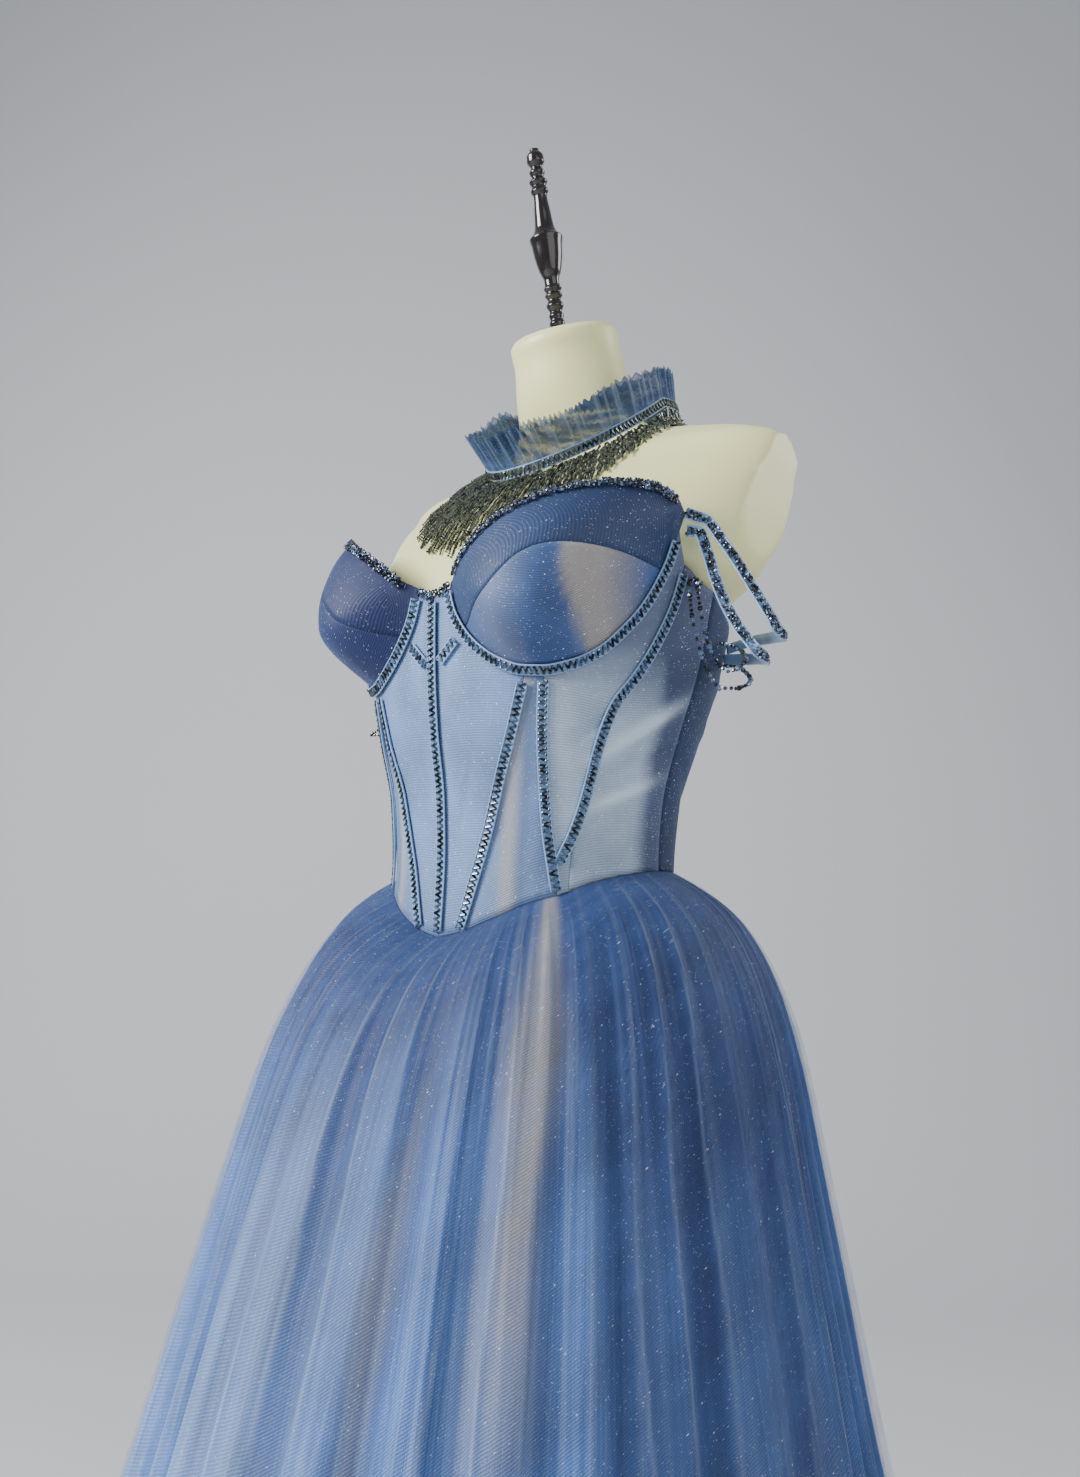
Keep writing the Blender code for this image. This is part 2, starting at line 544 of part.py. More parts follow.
def build_trims(side_name, side):
    trim(f"cup_band_{side_name}", between(CUP_WIRE, 0.02, 0.97, 21), side, lift=1.0 * MM)
    trim(f"vee_band_{side_name}", trace([(7.3, 1.2146), (2.3, 1.2002)], 4), side, slant=(-0.44, -1.2))
    trim(f"princess_band_{side_name}", between(PRINCESS_SEAM, 0.02, 0.95, 11), side)
    trim(f"side_front_band_{side_name}", between(SIDE_FRONT_SEAM, 0.02, 0.95, 10), side)
    underarm = [(45.8, 1.0555)] + UNDERARM_SEAM[1:-1] + [(76.2, 1.266)]
    trim(f"underarm_band_{side_name}", trace(underarm, 13), side, lift=1.1 * MM, slant=(-1.6, 0))
    neck = np.array(NECKLINE) - [0, 0.0035]
    trim(f"neckline_beads_{side_name}", trace(neck[1:-1], 16), side, 5.5 * MM, 2.6 * MM, 0.8 * MM, "dark_bead")


def fold_wave(u):
    """Uneven round-and-round wave of the skirt's folds, about -1 to 1."""
    turn = np.radians(u)
    phase = FOLDS * turn + 1.5 * np.sin(3 * turn + 0.4) + 1.1 * np.sin(5 * turn + 2.0)
    broad = np.cos(9 * turn + 1.2 * np.sin(2 * turn + 1.0))
    return 0.72 * np.cos(phase) * (1 + 0.25 * np.sin(4 * turn + 0.7)) + 0.30 * broad


def skirt_point(u, depth, room_share, fold_share, inward):
    """Point of a skirt layer at angle u, depth below the waist seam as at the side seam."""
    seam_z = waist_z(u)
    local = depth * (seam_z - SKIRT_HEM_Z) / (SIDE_WAIST_Z - SKIRT_HEM_Z)
    ease = np.clip(local / 0.25, 0, 1)
    level = local + (SIDE_WAIST_Z - seam_z) * ease * ease * (3 - 2 * ease)
    start = body_point(u, seam_z)[..., :2]
    reach = np.linalg.norm(start, axis=-1)
    first_radius = SKIRT_SECTIONS[0][1]
    radius = column(SKIRT_SECTIONS, SKIRT_COLUMNS, "radius", level)
    radius = radius + (reach - first_radius) * np.exp(-local / 0.04)
    radius = radius + fold_share * column(SKIRT_SECTIONS, SKIRT_COLUMNS, "fold", local) * fold_wave(u)
    radius = radius - room_share * column(SKIRT_SECTIONS, SKIRT_COLUMNS, "lining_room", local) - inward
    flat = start / reach[..., None] * radius[..., None]
    flat[..., 1] -= SKIRT_FORWARD * np.clip(local / SKIRT_FORWARD_DEPTH, 0, 1)
    return np.concatenate([flat, (seam_z - local)[..., None]], -1)


def layer_normals(points):
    """Outward directions of a grid whose rows run down and columns run round."""
    around = np.gradient(points, axis=1)
    down = np.gradient(points, axis=0)
    return unit(np.cross(down, around))


def skirt_wall(name, u, depths, room_share, fold_share, thickness, finish):
    grid_u, grid_depth = np.meshgrid(u, np.array(depths, float))
    outer = skirt_point(grid_u, grid_depth, room_share, fold_share, 0.0)
    normals = layer_normals(outer)
    normals[0] = unit(normals[0] * [1, 1, 0])
    inner = outer - thickness * normals
    outer[0, :, 2] -= SEAM_GAP / 2
    inner[0, :, 2] -= SEAM_GAP / 2
    for edge, beside in ((0, 1), (-1, -2)):
        shift = SEAM_GAP / 2 * unit(outer[:, beside] - outer[:, edge])
        outer[:, edge] += shift
        inner[:, edge] += shift
    return wall(name, outer, inner, finish)


def build_skirt():
    for name, (start, end, count) in SKIRT_GORES.items():
        skirt_wall(name, np.linspace(start, end, count), SKIRT_ROW_DEPTHS, 0, 1, SKIRT_CLOTH, "skirt_blue")
    for name, (start, end, count) in LINING_GORES.items():
        skirt_wall(name, np.linspace(start, end, count), LINING_ROW_DEPTHS, 1, 0, LINING_CLOTH, "lining_beige")


def form_values(z):
    return {name: column(FORM_SECTIONS, FORM_COLUMNS, name, z) for name in FORM_COLUMNS[1:]}


def form_ring(z, count):
    """One section of the dress form, cut flat where the arm plates are."""
    at = form_values(z)
    turn = np.linspace(0, 2 * math.pi, count, endpoint=False)
    power = 2 / at["roundness"]
    across, along = rounded(np.sin(turn), power), rounded(np.cos(turn), power)
    depth = np.where(along > 0, at["middle"] - at["front"], at["back"] - at["middle"])
    y = at["middle"] - depth * along
    plate = ARM_PLATE_X - max(0.0, ARM_PLATE_LEVEL - z) * ARM_PLATE_SLOPE
    x = np.clip(at["side"] * across, -plate, plate)
    return np.stack([x, y, z + at["slope"] * (y - at["middle"])], -1)


def form_levels():
    """Finely spaced sections of the dress form's shoulders, straight between its rows."""
    z = np.linspace(1.22, 1.47, 501)
    rows = np.array(FORM_SECTIONS)
    return z, {name: np.interp(z, rows[:, 0], rows[:, n]) for n, name in enumerate(FORM_COLUMNS) if n}


def form_height(x, y, levels):
    """Height of the dress form's shoulders or chest above a place on plan."""
    z, at = levels
    depth = np.where(y < at["middle"], at["middle"] - at["front"], at["back"] - at["middle"])
    inside = np.abs(x / at["side"]) ** 2 + np.abs((y - at["middle"]) / depth) ** 2 < 1
    if not inside.any():
        return float(z[0])
    top = int(np.nonzero(inside)[0][-1])
    return float(z[top] + at["slope"][top] * (y - at["middle"][top]))


def build_form():
    """Torso with neck and arm plates, as one smooth closed body."""
    levels = [row[0] for row in FORM_SECTIONS]
    rings = np.stack([form_ring(z, FORM_POINTS_ROUND) for z in levels])
    count = FORM_POINTS_ROUND
    faces = [list(range(count))[::-1], [(len(levels) - 1) * count + i for i in range(count)]]
    for i in range(len(levels) - 1):
        for j in range(count):
            k = (j + 1) % count
            faces.append([i * count + j, i * count + k, (i + 1) * count + k, (i + 1) * count + j])
    add_object("form_torso", rings.reshape(-1, 3), faces, "cream_plastic")


def build_finial():
    """Turned wooden finial, leaning forwards on the sloping top of the neck."""
    profile = [(r * MM, h * MM) for h, r in FINIAL_PROFILE]
    finial = spin("neck_finial", profile, FINIAL_POINTS_ROUND, "dark_wood")
    z, _, front, back, middle, _, slope = FORM_SECTIONS[-1]
    centre_y = (front + back) / 2
    centre_y += FINIAL_OFFSET_Y
    centre_z = z + slope * (centre_y - middle)
    finial.rotation_euler = (math.radians(FINIAL_LEAN), 0, 0)
    finial.location = (0, centre_y, centre_z + FINIAL_LIFT)


def build_stand():
    """Plain round foot with a hub, and the pole up to the torso."""
    foot = [(0, 0), (FOOT_RADIUS, 0), (FOOT_RADIUS, FOOT_HEIGHT * 0.6), (FOOT_RADIUS - 0.008, FOOT_HEIGHT),
            (HUB_RADIUS + 0.012, FOOT_HEIGHT + 0.004), (HUB_RADIUS, HUB_HEIGHT), (0, HUB_HEIGHT)]
    spin("stand_foot", foot, 28, "black_steel")
    low, high = HUB_HEIGHT + SEAM_GAP, FORM_SECTIONS[0][0] - SEAM_GAP
    spin("stand_pole", [(0, low), (POLE_RADIUS, low), (POLE_RADIUS, high), (0, high)], 14, "black_steel")


def choker_point(v, drop=0.0):
    """Point of the choker's ring at v degrees from its front, drop below it along the band's upright."""
    turn = np.radians(v)
    reach = np.where(np.cos(turn) > 0, CHOKER_FRONT_REACH, CHOKER_BACK_REACH)
    slope = np.where(np.cos(turn) > 0, CHOKER_FRONT_SLOPE, CHOKER_BACK_SLOPE)
    x = CHOKER_HALF_WIDTH * np.sin(turn)
    y = -reach * np.cos(turn)
    place = np.stack([x, y + CHOKER_MIDDLE_Y, CHOKER_MIDDLE_Z + slope * y], -1)
    return place - np.multiply.outer(np.asarray(drop, float), np.array(CHOKER_UPRIGHT))


def choker_out(v):
    """Direction out of the ring at v degrees, square to its upright."""
    step = choker_point(np.asarray(v) + 0.5) - choker_point(np.asarray(v) - 0.5)
    return unit(np.cross(step, np.array(CHOKER_UPRIGHT)))


def build_choker_band():
    v = np.linspace(0, 360, 40, endpoint=False)
    half = CHOKER_BAND_WIDTH / 2
    outer = np.stack([choker_point(v, np.full(40, -half)), choker_point(v, np.full(40, half))])
    inner = outer - CHOKER_BAND_DEPTH * choker_out(v)[None]
    wall("choker_band", outer, inner, "satin_blue", ring=True)


def build_ruffle():
    """Gathered frill standing on the band, opening outwards in waves."""
    count = RUFFLE_WAVES * 4
    v = np.linspace(0, 360, count, endpoint=False)
    table = np.array(RUFFLE_HEIGHT, float)
    height = smooth(table[:, 0], table[:, 1], 180 - np.abs(180 - v))
    height = height * (1 + 0.05 * np.sin(np.radians(v) * 7 + 0.5))
    wave = np.cos(np.radians(v) * RUFFLE_WAVES)
    start = CHOKER_BAND_WIDTH / 2 + SEAM_GAP
    out = choker_out(v)
    seat = CHOKER_BAND_DEPTH / 2 - RUFFLE_CLOTH / 2
    rows = []
    for share in (0.0, 1.0):
        rise = choker_point(v, -(start + share * height))
        sway = -seat + share * RUFFLE_FLARE * height + (0.4 * MM + share * 2.6 * MM) * wave * (0.3 + 0.7 * share)
        rows.append(rise + sway[:, None] * out)
    outer = np.stack(rows)
    inner = outer - RUFFLE_CLOTH * out[None]
    wall("choker_ruffle", outer, inner, "skirt_blue", ring=True)


def fringe_route(v, length, segments, levels):
    """A strand's way from under the band, over the chest or shoulder."""
    place = choker_point(v, CHOKER_BAND_WIDTH / 2 + SEAM_GAP + 1.5 * MM) - 0.4 * MM * choker_out(v)
    outward = unit(choker_out(v)[:2])
    route = [place]
    step, reach = 0.5 * MM, 8 * MM
    spot = place.copy()
    for _ in range(segments):
        travelled = 0.0
        while travelled < length / segments:
            ahead = spot.copy()
            across = form_height(spot[0] + reach, spot[1], levels) - form_height(spot[0] - reach, spot[1], levels)
            along = form_height(spot[0], spot[1] + reach, levels) - form_height(spot[0], spot[1] - reach, levels)
            away = unit(outward - FRINGE_FALL * np.array([across, along]) / (2 * reach))
            ahead[:2] += away * step
            resting = form_height(ahead[0], ahead[1], levels) + FRINGE_LIFT
            ahead[2] = max(min(spot[2], resting), spot[2] - FRINGE_STEEPEST * step)
            travelled += float(np.linalg.norm(ahead - spot))
            spot = ahead
        route.append(spot.copy())
    return np.array(route)


def build_fringe():
    """Bead fringe: a strip under the band with one strand grown out of every second of its faces."""
    count = FRINGE_STRANDS * 2
    v = np.linspace(0, 360, count, endpoint=False) - 90 / FRINGE_STRANDS
    top = CHOKER_BAND_WIDTH / 2 + SEAM_GAP
    out = choker_out(v)
    faces_out = (-0.2 * MM, -0.2 * MM - FRINGE_STRAND)
    levels = form_levels()
    rings = [choker_point(v, np.full(count, drop)) + shift * out
             for drop in (top, top + 1.5 * MM) for shift in faces_out]
    points = [tuple(p) for ring in rings for p in ring]
    faces = []
    for j in range(count):
        k = (j + 1) % count
        outer_top, inner_top, outer_low, inner_low = (i * count for i in range(4))
        faces.append([outer_top + j, outer_top + k, inner_top + k, inner_top + j])
        faces.append([outer_top + j, outer_low + j, outer_low + k, outer_top + k])
        faces.append([inner_top + j, inner_top + k, inner_low + k, inner_low + j])
        if j % 2:
            faces.append([outer_low + j, inner_low + j, inner_low + k, outer_low + k])
            continue
        middle = (v[j] + v[j] + 360 / count) / 2
        table = np.array(FRINGE_LENGTH, float)
        length = float(smooth(table[:, 0], table[:, 1], 180 - abs(180 - middle % 360)))
        route = fringe_route(middle, length, 3, levels)
        before = [outer_low + j, outer_low + k, inner_low + k, inner_low + j]
        aside = unit(np.array(points[outer_low + k]) - np.array(points[outer_low + j]))
        for n in range(1, len(route)):
            along = unit(route[n] - route[n - 1])
            away = unit(np.cross(aside, along))
            if away @ out[j] < 0:
                away = -away
            half = FRINGE_STRAND / 2
            corners = [(-half, half), (half, half), (half, -half), (-half, -half)]
            now = []
            for a, b in corners:
                now.append(len(points))
                points.append(tuple(route[n] + a * aside + b * away))
            for m in range(4):
                faces.append([before[m], before[(m + 1) % 4], now[(m + 1) % 4], now[m]])
            before = now
        faces.append(before)
    add_object("choker_fringe", points, faces, "bugle_bead")


def swing_back(knots):
    """The left sleeve's route moved back and in where it hangs free, for the right sleeve."""
    top_z = knots[1, 2] - RIGHT_SWING_START
    share = np.clip((top_z - knots[:, 2]) / RIGHT_SWING_HEIGHT, 0, 1)
    lowest = int(np.argmin(knots[:, 2]))
    past = np.arange(len(knots)) - lowest
    share = share * np.clip(1 - past / (len(knots) - 1 - lowest), 0, 1)
    return knots + share[:, None] * np.array([*RIGHT_SWING, 0.0])


def sleeve_route(spec, side, lifts, count):
    """Evenly spaced points along a strap: sewn on at the front, free round the arm, sewn on at the back."""
    ends = [off_bodice(*spec[key], lift) for key, lift in zip(("front", "back"), lifts)]
    knots = np.vstack([ends[0], spec["route"], ends[1]])
    if side < 0:
        knots = swing_back(knots)
    along = np.concatenate([[0], np.cumsum(np.linalg.norm(np.diff(knots, axis=0), axis=1))])
    wanted = np.linspace(0, along[-1], count)
    route = np.stack([smooth(along, knots[:, i], wanted) for i in range(3)], -1)
    route[:, 0] *= side
    return route


def build_sleeve(side_name, side):
    for name, spec in STRAPS.items():
        lifts = (2 * TRIM_LIFT + TRIM_DEPTH + STRAP_DEPTH / 2, SEAM_GAP + STRAP_DEPTH / 2)
        route = sleeve_route(spec, side, lifts, 26)
        centre = np.array([SLEEVE_CENTRE[0] * side, SLEEVE_CENTRE[1]])
        facing = unit(np.concatenate([route[:, :2] - centre, 0 * route[:, :1]], 1))
        bar(f"{name}_{side_name}", route, facing, STRAP_WIDTH, STRAP_DEPTH, "satin_blue")
    for name, spec in STRANDS.items():
        lifts = (SEAM_GAP + STRAND_RADIUS, SEAM_GAP + STRAND_RADIUS)
        route = sleeve_route(spec, side, lifts, 24)
        line = bpy.data.curves.new(f"{name}_{side_name}", "CURVE")
        line.dimensions = "3D"
        line.bevel_depth = STRAND_RADIUS
        line.bevel_resolution = 0
        line.use_fill_caps = True
        spline = line.splines.new("POLY")
        spline.points.add(len(route) - 1)
        for point, place in zip(spline.points, route):
            point.co = (*place, 1.0)
        line.materials.append(material("dark_bead"))
        bpy.context.scene.collection.objects.link(bpy.data.objects.new(f"{name}_{side_name}", line))


def build_back():
    """Panel behind the open back, the crossed ribbon over it, and the bow."""
    under, thickness = 1.3 * MM, 0.6 * MM
    u = (161.2, 167, 173, 180, 187, 193, 198.8)
    z = trace(BACK_EDGE, 9)[:, 1] + np.linspace(2.0, -3.0, 9) * MM
    grid_u, grid_z = np.meshgrid(u, z)
    outer = off_bodice(grid_u, grid_z, -BODICE_CLOTH - under)
    inner = off_bodice(grid_u, grid_z, -BODICE_CLOTH - under - thickness)
    wall("back_modesty_panel", outer, inner, "net_blue")
    for n, low in enumerate(LACING_RUNGS, 1):
        for direction, layer in (("rise", 0), ("fall", 1)):
            lift = SEAM_GAP + RIBBON_DEPTH / 2 + layer * (RIBBON_DEPTH + SEAM_GAP)
            share = np.linspace(-1, 1, 5)
            turn = share if layer == 0 else -share
            places_u = 180 + LACING_REACH_U * turn
            places_z = low + LACING_RISE * (share + 1) / 2
            route = off_bodice(places_u, places_z, lift)
            bar(f"lacing_{n}_{direction}", route, bodice_normal(places_u, places_z),
                RIBBON_WIDTH, RIBBON_DEPTH, "satin_blue")
    build_bow()


def build_bow():
    """Ribbon bow at the middle of the lacing: a knot, two loops and two tails."""
    knot = off_bodice(180.0, BOW_Z, BOW_LIFT)
    out = bodice_normal(180.0, BOW_Z)
    route = knot + np.array([[0, 0, -1], [0, 0, 1]]) * 4.0 * MM
    bar("bow_knot", route, np.stack([out, out]), 8.0 * MM, 6.0 * MM, "satin_blue")
    for side_name, side in SIDES.items():
        turn = np.radians(np.linspace(-165, 165, 13))
        along = BOW_LOOP * (1 + np.cos(turn)) / 2
        rise = BOW_LOOP_HEIGHT / 2 * np.sin(turn) * np.sqrt(along / BOW_LOOP)
        x = side * (3.6 * MM + along)
        z = BOW_Z - BOW_LOOP_DROP * along / BOW_LOOP + rise
        y = knot[1] + 2.0 * MM - along**2 * 4.0
        loop = np.stack([x, y, z], -1)
        around = np.stack([side * np.cos(turn), 0 * turn, np.sin(turn)], -1)
        bar(f"bow_loop_{side_name}", loop, around, RIBBON_WIDTH, RIBBON_DEPTH, "satin_blue")
        share = np.linspace(0, 1, 6)
        places_u = 180 - side * (3.4 + 7.0 * share)
        places_z = BOW_Z - 0.0046 - BOW_TAIL * share
        tail = off_bodice(places_u, places_z, 2 * SEAM_GAP + RIBBON_DEPTH / 2)
        bar(f"bow_tail_{side_name}", tail, bodice_normal(places_u, places_z), RIBBON_WIDTH, RIBBON_DEPTH, "satin_blue")


def main():
    for old in list(bpy.data.objects):
        bpy.data.objects.remove(old)
    build_form()
    build_finial()
    build_stand()
    for side_name, side in SIDES.items():
        build_bodice(side_name, side)
        build_cup(side_name, side)
        build_trims(side_name, side)
        build_sleeve(side_name, side)
    trim("centre_band", trace([(0, 1.0045), (0, 1.060), (0, 1.130), (0, 1.190), (0, 1.246)], 13), 1, lift=1.2 * MM)
    build_back()
    build_choker_band()
    build_ruffle()
    build_fringe()
    build_skirt()


main()
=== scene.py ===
"""Looks of a ball gown on its dress form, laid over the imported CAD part.

The frame is the CAD's: metres, +Z up, floor at 0, the gown faces -Y. A place on the
cloth is (u, z): u is the angle round the body in degrees, 0 at centre front.
"""

import math

import bmesh
import bpy
import numpy as np
from mathutils import Matrix, Vector


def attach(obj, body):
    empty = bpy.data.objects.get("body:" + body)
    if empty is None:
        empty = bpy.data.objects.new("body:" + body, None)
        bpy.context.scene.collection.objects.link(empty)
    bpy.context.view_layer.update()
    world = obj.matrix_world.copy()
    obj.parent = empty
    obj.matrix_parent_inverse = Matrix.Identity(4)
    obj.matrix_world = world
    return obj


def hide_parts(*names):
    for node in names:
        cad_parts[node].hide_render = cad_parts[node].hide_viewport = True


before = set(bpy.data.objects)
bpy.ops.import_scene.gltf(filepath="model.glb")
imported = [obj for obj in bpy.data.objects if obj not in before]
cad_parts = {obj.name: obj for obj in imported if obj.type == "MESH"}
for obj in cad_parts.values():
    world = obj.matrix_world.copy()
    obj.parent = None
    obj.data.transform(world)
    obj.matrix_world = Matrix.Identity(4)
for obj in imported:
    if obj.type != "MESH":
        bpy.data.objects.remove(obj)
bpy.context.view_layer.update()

bl_info = {
    "name": "Ball gown",
    "version": (1, 0, 0),
    "blender": (4, 5, 0),
    "location": "View3D > Sidebar > Gown",
    "description": "Builds the cloth, beads and form of a ball gown over its CAD frame",
    "category": "Object",
}

MM = 0.001
SEAM_GAP = 0.35 * MM
BODICE_CLOTH = 1.5 * MM
NET_WALL = 0.9 * MM
TRIM_WIDTH = 8.6 * MM
TRIM_DEPTH = 1.8 * MM
TRIM_LIFT = 0.9 * MM
SIDES = {"left": 1, "right": -1}
# Length of a degree round the bodice, about the same everywhere
METRES_PER_DEGREE = 0.0023

# Bodice cloth without its cups, as level sections
BODICE_COLUMNS = ("z", "side", "front", "back")
BODICE_SECTIONS = [
    (0.950, 0.135, 0.118, 0.110),
    (1.000, 0.120, 0.1180, 0.094),
    (1.050, 0.112, 0.1165, 0.080),
    (1.100, 0.1155, 0.1195, 0.084),
    (1.150, 0.128, 0.1290, 0.101),
    (1.200, 0.143, 0.1345, 0.117),
    (1.250, 0.154, 0.1365, 0.123),
    (1.280, 0.160, 0.1330, 0.123),
    (1.300, 0.166, 0.1290, 0.122),
    (1.350, 0.173, 0.1120, 0.115),
]
BODICE_ROUNDNESS = 2.2

# Moulded cups: a dome on each side of the front
CUP_MIDDLE_U = 37.5
CUP_HALF_WIDTH_U = 33.4
CUP_FULL_Z = 1.238
CUP_LOWER_HEIGHT = 0.045
CUP_LOWER_EASE = 1.35
CUP_RISE = 0.105
CUP_DEPTH = 0.049
CUP_LEAN = (0.16, -0.985)

# Seam where the skirt is sewn on: level at the back, a long point at the front
WAIST_SEAM = [(0, 1.0000), (8, 1.0045), (20, 1.0145), (35, 1.0270), (45, 1.0325),
              (60, 1.0430), (75, 1.0490), (90, 1.0520), (180, 1.0520)]
SIDE_WAIST_Z = 1.052

# Seams of one half of the bodice, bottom to top, as (u, z)
CENTRE_SEAM = [(0, 1.000), (0, 1.060), (0, 1.130), (0, 1.190), (0, 1.251)]
PRINCESS_SEAM = [(8, 1.0045), (13.5, 1.042), (18.7, 1.078), (22.9, 1.113), (27.2, 1.148), (30.3, 1.1905)]
SIDE_FRONT_SEAM = [(45, 1.0325), (43.0, 1.055), (40.8, 1.079), (39.0, 1.114), (37.4, 1.148), (35.9, 1.1903)]
UNDERARM_SEAM = [(49.5, 1.0362), (51.2, 1.079), (55.2, 1.108), (57.7, 1.143), (60.4, 1.168),
                 (66.0, 1.190), (71.3, 1.217), (75.2, 1.247), (76.6, 1.274)]
SIDE_SEAM = [(90, 1.052), (89.6, 1.090), (89.7, 1.130), (90.4, 1.170), (91, 1.205), (91, 1.262)]
BACK_EDGE = [(173, 1.052), (173, 1.110), (173, 1.170), (173, 1.226)]
CUP_WIRE = [(4.6, 1.2545), (6.6, 1.236), (10.0, 1.221), (15.3, 1.207), (22.5, 1.196), (30.3, 1.1905),
            (35.9, 1.1903), (45.1, 1.195), (53.1, 1.205), (59.1, 1.2195), (64.3, 1.236), (68.4, 1.257),
            (70.6, 1.276), (71.2, 1.296)]
CUP_SEAM_START_U = 9.6
CUP_SEAM_END_U = 69.3
CUP_SEAM = [(10.8, 1.2233), (15.2, 1.2256), (19.5, 1.2290), (24.0, 1.2350), (30.0, 1.2490), (35.2, 1.2612),
            (40.5, 1.2675), (46.2, 1.2700), (52.8, 1.2707), (59.2, 1.2700), (64.5, 1.2680), (68.2, 1.2662)]
NECKLINE = [(4.6, 1.2585), (8.0, 1.2650), (12.0, 1.2760), (19.0, 1.2910), (28.0, 1.3055), (38.0, 1.3165),
            (50.0, 1.3240), (61.0, 1.3255), (68.0, 1.3200), (72.0, 1.3080)]
ARMHOLE = [(76.6, 1.274), (79.5, 1.2715), (84.0, 1.2660), (91, 1.262)]
BACK_TOP = [(91, 1.262), (105, 1.250), (125, 1.240), (150, 1.231), (173, 1.226)]

# Skirt outline: depth below the side waist, radius, height of the folds, room down to the lining
SKIRT_COLUMNS = ("depth", "radius", "fold", "lining_room")
SKIRT_SECTIONS = [
    (0.000, 0.1120, 0.0000, 0.0032),
    (0.012, 0.1330, 0.0004, 0.0040),
    (0.026, 0.1510, 0.0008, 0.0050),
    (0.042, 0.1650, 0.0014, 0.0062),
    (0.082, 0.1860, 0.0024, 0.0085),
    (0.130, 0.2010, 0.0036, 0.0110),
    (0.210, 0.2180, 0.0052, 0.0140),
    (0.290, 0.2345, 0.0068, 0.0170),
    (0.450, 0.2690, 0.0095, 0.0220),
    (0.700, 0.3440, 0.0135, 0.0300),
    (1.046, 0.4500, 0.0185, 0.0400),
]
SKIRT_FORWARD = 0.0345
SKIRT_FORWARD_DEPTH = 0.60
SKIRT_DEPTH = 1.046
SKIRT_HEM_Z = 0.006
FOLDS = 28
# The skirt and its lining are cut as three gores: first and last angle
GORES = {"front": (-90, 90), "back_left": (90, 180), "back_right": (-180, -90)}

# Dress form sections: half width, foremost y, rearmost y, y of the widest line, roundness, slope
FORM_COLUMNS = ("z", "side", "front", "back", "middle", "roundness", "slope")
FORM_SECTIONS = [
    (0.862, 0.112, -0.080, 0.098, 0.000, 2.2, 0.00),
    (0.872, 0.128, -0.095, 0.112, 0.000, 2.2, 0.00),
    (0.900, 0.134, -0.100, 0.115, 0.000, 2.2, 0.00),
    (0.950, 0.1290, -0.1120, 0.1040, 0.000, 2.2, 0.00),
    (1.000, 0.1150, -0.1130, 0.0890, 0.000, 2.2, 0.00),
    (1.050, 0.1094, -0.1139, 0.0750, 0.000, 2.2, 0.00),
    (1.100, 0.1105, -0.1145, 0.0765, 0.000, 2.2, 0.00),
    (1.150, 0.1230, -0.1240, 0.0940, 0.000, 2.2, 0.00),
    (1.200, 0.1370, -0.1285, 0.1110, 0.002, 2.2, 0.00),
    (1.250, 0.1465, -0.1285, 0.1165, 0.008, 2.2, 0.00),
    (1.262, 0.1485, -0.1235, 0.1165, 0.016, 2.0, 0.00),
    (1.270, 0.1590, -0.1200, 0.1165, 0.022, 1.9, 0.00),
    (1.280, 0.1730, -0.1155, 0.1160, 0.026, 1.9, 0.00),
    (1.296, 0.1850, -0.1075, 0.1150, 0.030, 1.9, 0.00),
    (1.320, 0.1980, -0.0925, 0.1125, 0.037, 1.9, 0.00),
    (1.350, 0.2020, -0.0655, 0.1085, 0.047, 2.0, 0.00),
    (1.376, 0.2020, -0.0345, 0.1010, 0.056, 2.1, 0.00),
    (1.391, 0.1950, -0.0165, 0.0930, 0.052, 2.2, 0.00),
    (1.402, 0.1720, -0.0010, 0.0850, 0.046, 2.1, 0.00),
    (1.411, 0.1330, 0.0070, 0.0790, 0.040, 2.0, 0.02),
    (1.419, 0.0960, 0.0100, 0.0770, 0.040, 2.0, 0.06),
    (1.430, 0.0690, 0.0020, 0.0760, 0.037, 2.0, 0.12),
    (1.450, 0.0555, -0.0110, 0.0730, 0.031, 2.0, 0.18),
    (1.472, 0.0520, -0.0200, 0.0680, 0.025, 2.0, 0.26),
    (1.500, 0.0475, -0.0285, 0.0600, 0.017, 2.0, 0.34),
    (1.5135, 0.0470, -0.0340, 0.0550, 0.011, 2.0, 0.36),
    (1.5180, 0.0440, -0.0320, 0.0515, 0.010, 2.0, 0.36),
]
FORM_SIDES = 144
ARM_PLATE_X = 0.1925
ARM_PLATE_LEVEL = 1.375
ARM_PLATE_SLOPE = 0.13

# Neck finial: height above the neck, radius
FINIAL_PROFILE = [
    (0.0, 0.0), (0.0, 7.5), (3.5, 8.2), (6.0, 6.2), (9.5, 7.0), (12.5, 5.8), (16.0, 6.6), (19.0, 5.4),
    (24.5, 7.6), (29.5, 5.6), (33.0, 7.8), (36.0, 6.2), (39.0, 8.0), (42.0, 6.6), (46.0, 6.6),
    (54.0, 9.4), (66.0, 12.2), (77.0, 13.6), (82.0, 14.6), (85.0, 11.6), (91.0, 8.6), (106.0, 7.0),
    (118.0, 5.8), (122.0, 7.8), (126.0, 6.2), (130.0, 8.0), (134.0, 5.2), (138.0, 6.8), (142.0, 4.8),
    (147.0, 7.6), (152.0, 7.2), (156.0, 4.0), (157.5, 0.0),
]
FINIAL_SIDES = 40
FINIAL_LEAN = 15.0
FINIAL_OFFSET_Y = -0.006
FINIAL_LIFT = 1.1 * MM

